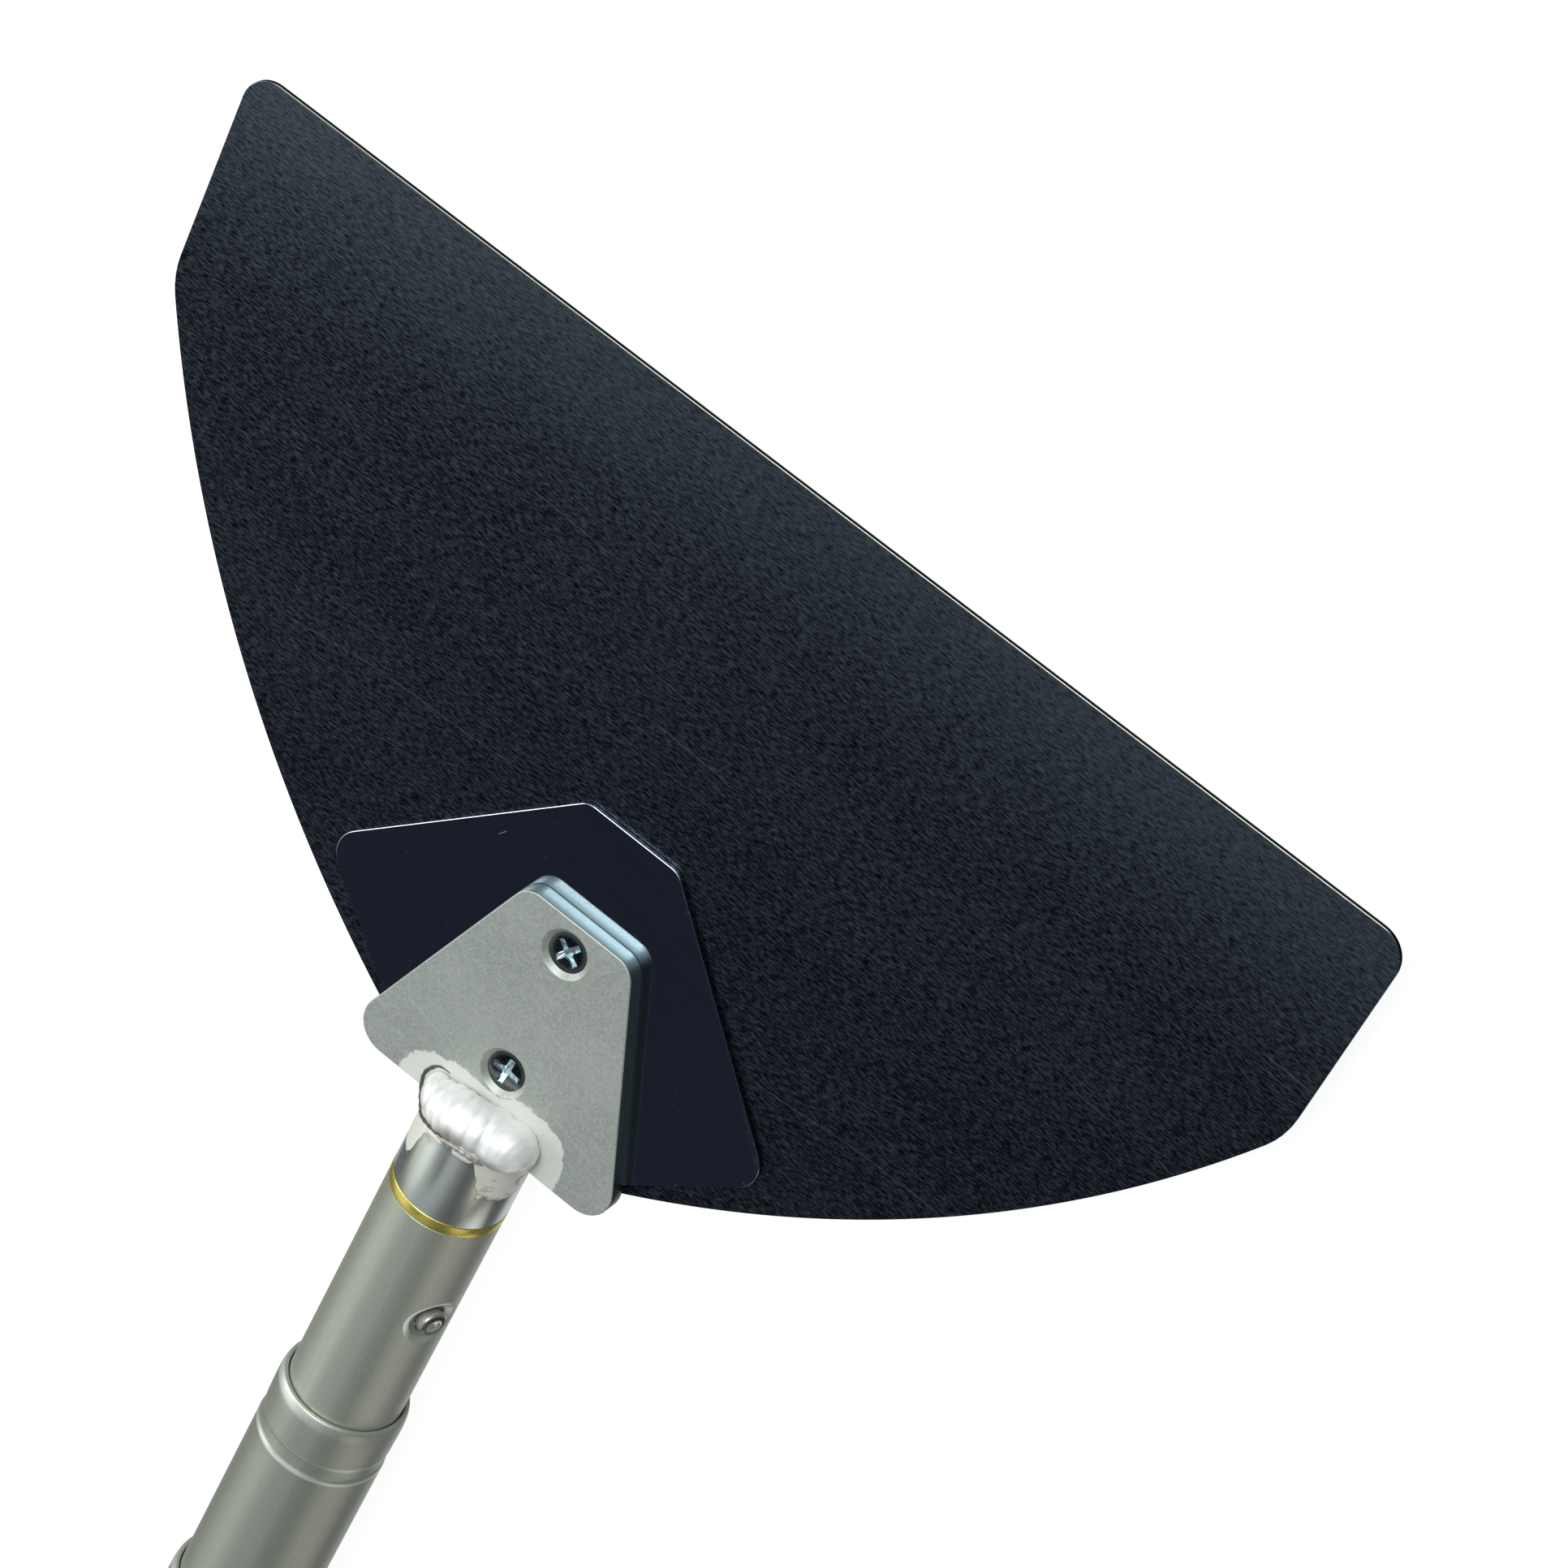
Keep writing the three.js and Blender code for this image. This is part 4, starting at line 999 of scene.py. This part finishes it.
# The bead is a row of coins, each over the right edge of the one before, and ends in a large smooth blob.
# Its edges down on the bracket and up on the neck, as (across, along the fillet's slope).
BRACKET_EDGE = ((-13, -4.9), (-9, -5.3), (-7, -5.0), (-4.8, -5.6), (1.7, -6.0), (5.5, -7.3))
NECK_EDGE = ((-13, -3.0), (-11.4, 2.0), (-9.6, 3.7), (-7.2, 4.9), (-4.3, 5.5), (0, 5.3), (2.9, 4.7),
             (5.5, 4.1))
RISE = ((-9.6, -0.5), (-6, 0.6), (-3, 1.6), (1, 1.6), (5, 0.6))
COINS = 7
COIN_FIRST, COIN_LAST = -9.4, 4.8
COIN_TURN, COIN_TILT = -10, 15
coins = []
for index in range(COINS):
    share = index / (COINS - 1)
    x = COIN_FIRST + (COIN_LAST - COIN_FIRST) * share
    lower = np.interp(x, *zip(*BRACKET_EDGE))
    upper = np.interp(x, *zip(*NECK_EDGE))
    size = (2.9 + 1.9 * share, (upper - lower) / 2, 3.2 + 1.0 * share)
    centre = (x, (upper + lower) / 2, np.interp(x, *zip(*RISE)))
    coins.append((centre, size, COIN_TURN * max(1.0, 2.4 - 5 * share), COIN_TILT))
coins += [((8.4, -1.4, 0.5), (6.3, 5.5, 5.0), -35, 0), ((11.2, -2.1, -0.4), (3.6, 4.1, 3.6), 0, 0)]


def on_neck(across, station):
    """A point on the neck's upper surface."""
    return place(across, station, AXIS_HEIGHT + math.sqrt(max(0.0, NECK["radius"] ** 2 - across * across)))


bm = bmesh.new()
bead_skin(bm, coins, 190, 120, 26.0)
strand(bm, [on_neck(-3.4, 163.4), on_neck(-1.2, 162.6), on_neck(1.2, 162.2), on_neck(3.4, 162.3),
            on_neck(5.6, 162.8), on_neck(7.2, 163.4)], 0.62)
# The next strand is a dark strand of painted shade along the bead's left and lower edge, standing in for the
# crevice's shadow.
strand(bm, [place(-9.6, 156.2, 5.0), place(-12.4, 156.6, 5.0), place(-14.2, 159.2, 5.0),
            place(-14.3, 161.8, 5.0), place(-12.9, 164.6, 5.8), on_neck(-10.9, 165.5),
            on_neck(-9.4, 164.9), on_neck(-7.2, 163.9),
            on_neck(-4.3, 162.9), on_neck(-1.9, 162.1), on_neck(0.6, 161.5)], 0.42, material=1)
keep(built("upper_weld_bead", bm, 60), "head_section", "weld_metal", "upper_weld", others=[weld_crevice()])

_, top = levels_of("lower_weld")
bm = bmesh.new()
for k in range(12):
    centre = Matrix.Translation(place(-9.6 + 1.75 * k, 160.3, top - 0.35))
    sized = centre @ Matrix.Diagonal((1.5 * MM, 1.25 * MM, 1.15 * MM, 1))
    bmesh.ops.create_icosphere(bm, subdivisions=3, radius=1, matrix=sized)
for face in bm.faces:
    face.smooth = True
beads = built("lower_weld_bead", bm)
fuse = beads.modifiers.new("fuse", "REMESH")
fuse.mode = "VOXEL"
fuse.voxel_size = 0.16 * MM
fuse.use_smooth_shade = True
soften = beads.modifiers.new("soften", "SMOOTH")
soften.iterations = 3
keep(applied(beads), "head_section", "weld_metal", "lower_weld")


# ---- tubes --------------------------------------------------------------------------------------------

def ends_of(node):
    low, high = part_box(node)
    return station_of(high.y), station_of(low.y), (high.z - low.z) / 2 / MM


DISH = {"radius": 5.6, "floor": 3.9, "depth": 1.25, "hole": 3.25}


def dished(radius, station, angle):
    """Presses the dish round the snap button into the tube's wall."""
    apart = (angle - BUTTON_ANGLE + math.pi) % (2 * math.pi) - math.pi
    if abs(apart) > 1:
        return radius
    away = math.hypot(station - BUTTON_STATION, radius * math.sin(apart))
    if away > DISH["radius"]:
        return radius
    share = min(1.0, (DISH["radius"] - away) / (DISH["radius"] - DISH["floor"]))
    return radius - DISH["depth"] * share ** 1.3 * (2.3 - 1.3 * share)


def across_button(name, profile, sides=64):
    """A body of revolution about the snap button's axis from [radius, distance from the pole] points."""
    piece = upright(name, 0, profile, sides, 30)
    stand = Matrix.Translation(place(0, BUTTON_STATION, AXIS_HEIGHT))
    lean = Matrix.Rotation(BUTTON_ANGLE, 4, "Y")
    piece.data.transform(stand @ lean @ Matrix.Translation(-place(0, 0, 0)))
    return piece


START, END, RADIUS = ends_of("top_tube")
BORE = 11.1
near = [BUTTON_STATION - 6.5 + 0.25 * k for k in range(53)]
outside = [(RADIUS, END)] + [(RADIUS, s) for s in (600, 450, 320, 240)] + [(RADIUS, s) for s in near[::-1]]
outside += [(RADIUS, START + 8), (RADIUS, START + 0.08), (RADIUS - 0.08, START)]
inside = [(BORE, START), (BORE, START + 8)] + [(BORE, s) for s in near] + [(BORE, 300), (BORE, END)]


def tube_wall(radius, station, angle):
    return dished(radius, station, angle) if radius > BORE + 0.5 else radius


top_tube = turned("top_tube_skin", outside + inside, 288, rim=tube_wall, sharp=40)
hole = across_button("hole", [(0, 9), (DISH["hole"], 9), (DISH["hole"], 14), (0, 14)])
keep(carve(top_tube, hole, 40), "head_section", "tube_aluminium", "top_tube")


# A swaged mouth as [radius beyond the tube's own, distance behind the lip] points.
COLLAR = [(-0.9, 0.0), (-0.62, 0.12), (-0.42, 0.45), (-0.25, 1.0), (-0.12, 1.8), (-0.03, 2.8), (0.0, 4.0),
          (-0.03, 6.5), (-0.08, 9.0), (-0.10, 10.6), (-0.16, 11.3), (-0.27, 11.9), (-0.31, 12.8),
          (-0.33, 14.0),
          (-0.28, 14.7), (-0.03, 15.3), (0.03, 15.9), (0.01, 17.0), (0.0, 19.0)]
WALL = 1.3


def collared(name, node, inner_radius, body):
    start, end, _ = ends_of(node)
    low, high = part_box(node)
    radius = (high.x - low.x) / 2 / MM - 0.04
    mouth = smoothed([(radius + r, start + t) for r, t in COLLAR], 4)
    bore = radius - WALL
    lip = inner_radius + 0.3
    outer = [(radius, end - 0.2), (radius, (start + end) / 2)] + mouth[::-1]
    inner = [(lip + 0.12, start + 0.02), (lip, start + 0.16), (lip, start + 0.7), (bore, start + 1.2),
             (bore, start + 9), (inner_radius + 0.15, start + 12.5), (bore, start + 15.4), (bore, end),
             (radius - 0.2, end)]
    return keep(turned(name, outer + inner, sharp=34), body, "tube_aluminium", node, look=node)


collared("middle_tube_skin", "middle_tube", 12.5, "middle_section")
collared("bottom_tube_skin", "bottom_tube", 14.15, "grip_section")


# ---- snap button --------------------------------------------------------------------------------------

button = across_button("snap_button_detail", [
    (0, 5.0), (4.3, 5.0), (4.3, 6.0), (3.0, 6.0), (3.0, 12.45), (2.93, 12.8), (2.72, 13.05), (2.35, 13.22),
    (1.75, 13.3), (1.45, 13.22), (1.2, 12.95), (0.7, 12.75), (0, 12.7)])
keep(button, "snap_button", "button_steel", "snap_button")


# ---- grip and end cap ---------------------------------------------------------------------------------

GRIP_START, GRIP_END, GRIP_RADIUS = ends_of("foam_grip")
GRIP_BORE = 15.9
section = filleted([(GRIP_BORE, GRIP_START), (GRIP_RADIUS, GRIP_START), (GRIP_RADIUS, GRIP_END),
                    (GRIP_BORE, GRIP_END)], [0.1, 1.45, 0.3, 0.0], 6)
long = [(GRIP_RADIUS, GRIP_START + (GRIP_END - GRIP_START) * k / 60) for k in range(1, 60)]
profile = section
turn_at = next(i for i, p in enumerate(profile) if p[1] > GRIP_START + 5)
profile[turn_at:turn_at] = long


def squeezed(radius, station, angle):
    """Foam is never quite round: shallow dents of under a quarter of a millimetre."""
    if radius < 16.5:
        return radius
    wave = math.sin(station * 0.11 + 2.0 * math.sin(angle)) * math.sin(3 * angle + station * 0.031)
    return radius - 0.12 * (1 + wave)


grip = keep(turned("foam_grip_sleeve", profile, 96, rim=squeezed), "grip_section", "grip_foam", "foam_grip")

_, CAP_END, CAP_RADIUS = ends_of("end_cap")
cap = filleted([(0, GRIP_END), (CAP_RADIUS, GRIP_END), (CAP_RADIUS, CAP_END), (0, CAP_END)],
               [0, 0.35, 3.0, 0], 8, closed=False)
plug = [(14.3, GRIP_END - 19.4), (13.7, GRIP_END - 20), (0, GRIP_END - 20)]
points = cap[:0:-1] + [(14.3, GRIP_END)] + plug
keep(turned("end_cap_detail", points, 96), "grip_section", "cap_rubber", "end_cap")


# ---- carried-over CAD nodes ---------------------------------------------------------------------------

slots = {}
for material in frame["record"]["materials"]:
    for node in material.get("nodes", []):
        slots[node] = material["slot"]
for name, node in frame["nodes"].items():
    if node.hide_render:
        continue
    look = slots.get(name)
    if look not in LOOKS:
        look = "zinc_steel" if name.endswith(("stud", "nut", "clip")) else "lock_plastic"
    node.data.materials.clear()
    node.data.materials.append(LOOKS[look])


# ---- floor, light and camera --------------------------------------------------------------------------

def floor():
    reach = 6.0
    mesh = bpy.data.meshes.new("floor")
    mesh.from_pydata([(-reach, -reach, 0), (reach, -reach, 0), (reach, reach, 0), (-reach, reach, 0)], [],
                     [(0, 1, 2, 3)])
    made = linked("floor", mesh)
    material = bpy.data.materials.new("pale_floor")
    material.use_nodes = True
    shader = material.node_tree.nodes["Principled BSDF"]
    shader.inputs["Base Color"].default_value = (0.30, 0.30, 0.30, 1)
    shader.inputs["Roughness"].default_value = 1.0
    shader.inputs["Specular IOR Level"].default_value = 0.0
    shader.inputs["Emission Color"].default_value = (1, 1, 1, 1)
    shader.inputs["Emission Strength"].default_value = 0.9
    mesh.materials.append(material)
    made.visible_glossy = False
    made.visible_shadow = False
    made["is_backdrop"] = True


floor()


def studio():
    """Soft light all round: a dim cool room with a few broad bright panels, and a pale backdrop."""
    world = bpy.data.worlds.new("studio")
    scene.world = world
    world.use_nodes = True
    world.node_tree.nodes.clear()
    nodes = Nodes(world.node_tree)
    direction = nodes.node("ShaderNodeTexCoord").outputs["Generated"]
    total = None
    for towards, inner, outer, colour, strength in PANELS:
        facing = nodes.vector("DOT_PRODUCT", direction, Vector(towards).normalized())
        fade = nodes.step(facing, math.cos(math.radians(outer)), math.cos(math.radians(inner)))
        panel = nodes.mix(fade, (0, 0, 0), [c * abs(strength) for c in colour])
        blend = "ADD" if strength > 0 else "SUBTRACT"
        total = nodes.mix(1.0, total, panel, blend) if total else panel
    room = nodes.node("ShaderNodeBackground", {"Color": total})
    backdrop = nodes.node("ShaderNodeBackground", {"Color": (0.96, 0.97, 0.98, 1)})
    seen = nodes.node("ShaderNodeLightPath").outputs["Is Camera Ray"]
    choice = nodes.node("ShaderNodeMixShader", {0: seen, 1: room.outputs[0], 2: backdrop.outputs[0]})
    nodes.node("ShaderNodeOutputWorld", {"Surface": choice.outputs[0]})


# direction, angles where the panel starts and stops fading, colour and strength, negative for a dark gap
PANELS = [
    ((0, 0, 1), 179, 180, (0.016, 0.020, 0.029), 1.0),
    ((-0.15, 0.62, 0.74), 24, 52, (0.92, 1.00, 1.00), 1.20),
    ((-0.28, -0.52, 0.81), 15, 40, (0.90, 1.00, 1.06), 0.34),
    ((-0.229, -0.576, 0.785), 6, 11, (0.90, 1.00, 1.06), -0.34),
    ((-0.74, -0.50, 0.45), 10, 26, (1.00, 1.05, 0.96), 0.65),
    ((-0.94, -0.10, 0.28), 10, 24, (1.00, 1.02, 0.98), 0.85),
    ((0.80, -0.50, 0.33), 7, 18, (1.05, 1.00, 0.84), 0.66),
    ((0.48, -0.87, -0.10), 8, 20, (1.00, 1.00, 0.96), 1.00),
    ((-0.10, -0.55, -0.83), 16, 37, (0.95, 1.00, 1.00), 0.62),
]
studio()


def softbox(name, at, target, size, power, colour):
    data = bpy.data.lights.new(name, "AREA")
    data.shape = "RECTANGLE"
    data.size, data.size_y = size
    data.energy = power
    data.color = colour
    made = bpy.data.objects.new(name, data)
    scene.collection.objects.link(made)
    made.location = at
    made.rotation_euler = (Vector(target) - Vector(at)).to_track_quat("-Z", "Y").to_euler()


HEAD = place(0, 120, 0)
softbox("softbox_front", HEAD + Vector((-0.2, 1.0, 1.5)), HEAD, (0.9, 0.7), 15, (0.96, 1.0, 1.0))
softbox("softbox_side", HEAD + Vector((-1.4, 0.0, 0.9)), HEAD, (0.7, 0.9), 7, (1.0, 1.0, 0.97))


def camera():
    data = bpy.data.cameras.new("camera")
    made = bpy.data.objects.new("camera", data)
    scene.collection.objects.link(made)
    data.sensor_width = 36
    data.lens = 120.11
    data.clip_start = 0.05
    data.clip_end = 50
    right = Vector((0.76773, 0.38832, -0.50970))
    down = Vector((0.59829, -0.71922, 0.35323))
    forward = right.cross(down)
    turn = Matrix((right, -down, -forward)).transposed()
    made.matrix_world = Matrix.Translation((0.2410, 0.9510, 0.7693)) @ turn.to_4x4()
    scene.camera = made


camera()
scene.view_settings.view_transform = "Standard"

bpy.context.view_layer.update()
low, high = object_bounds()
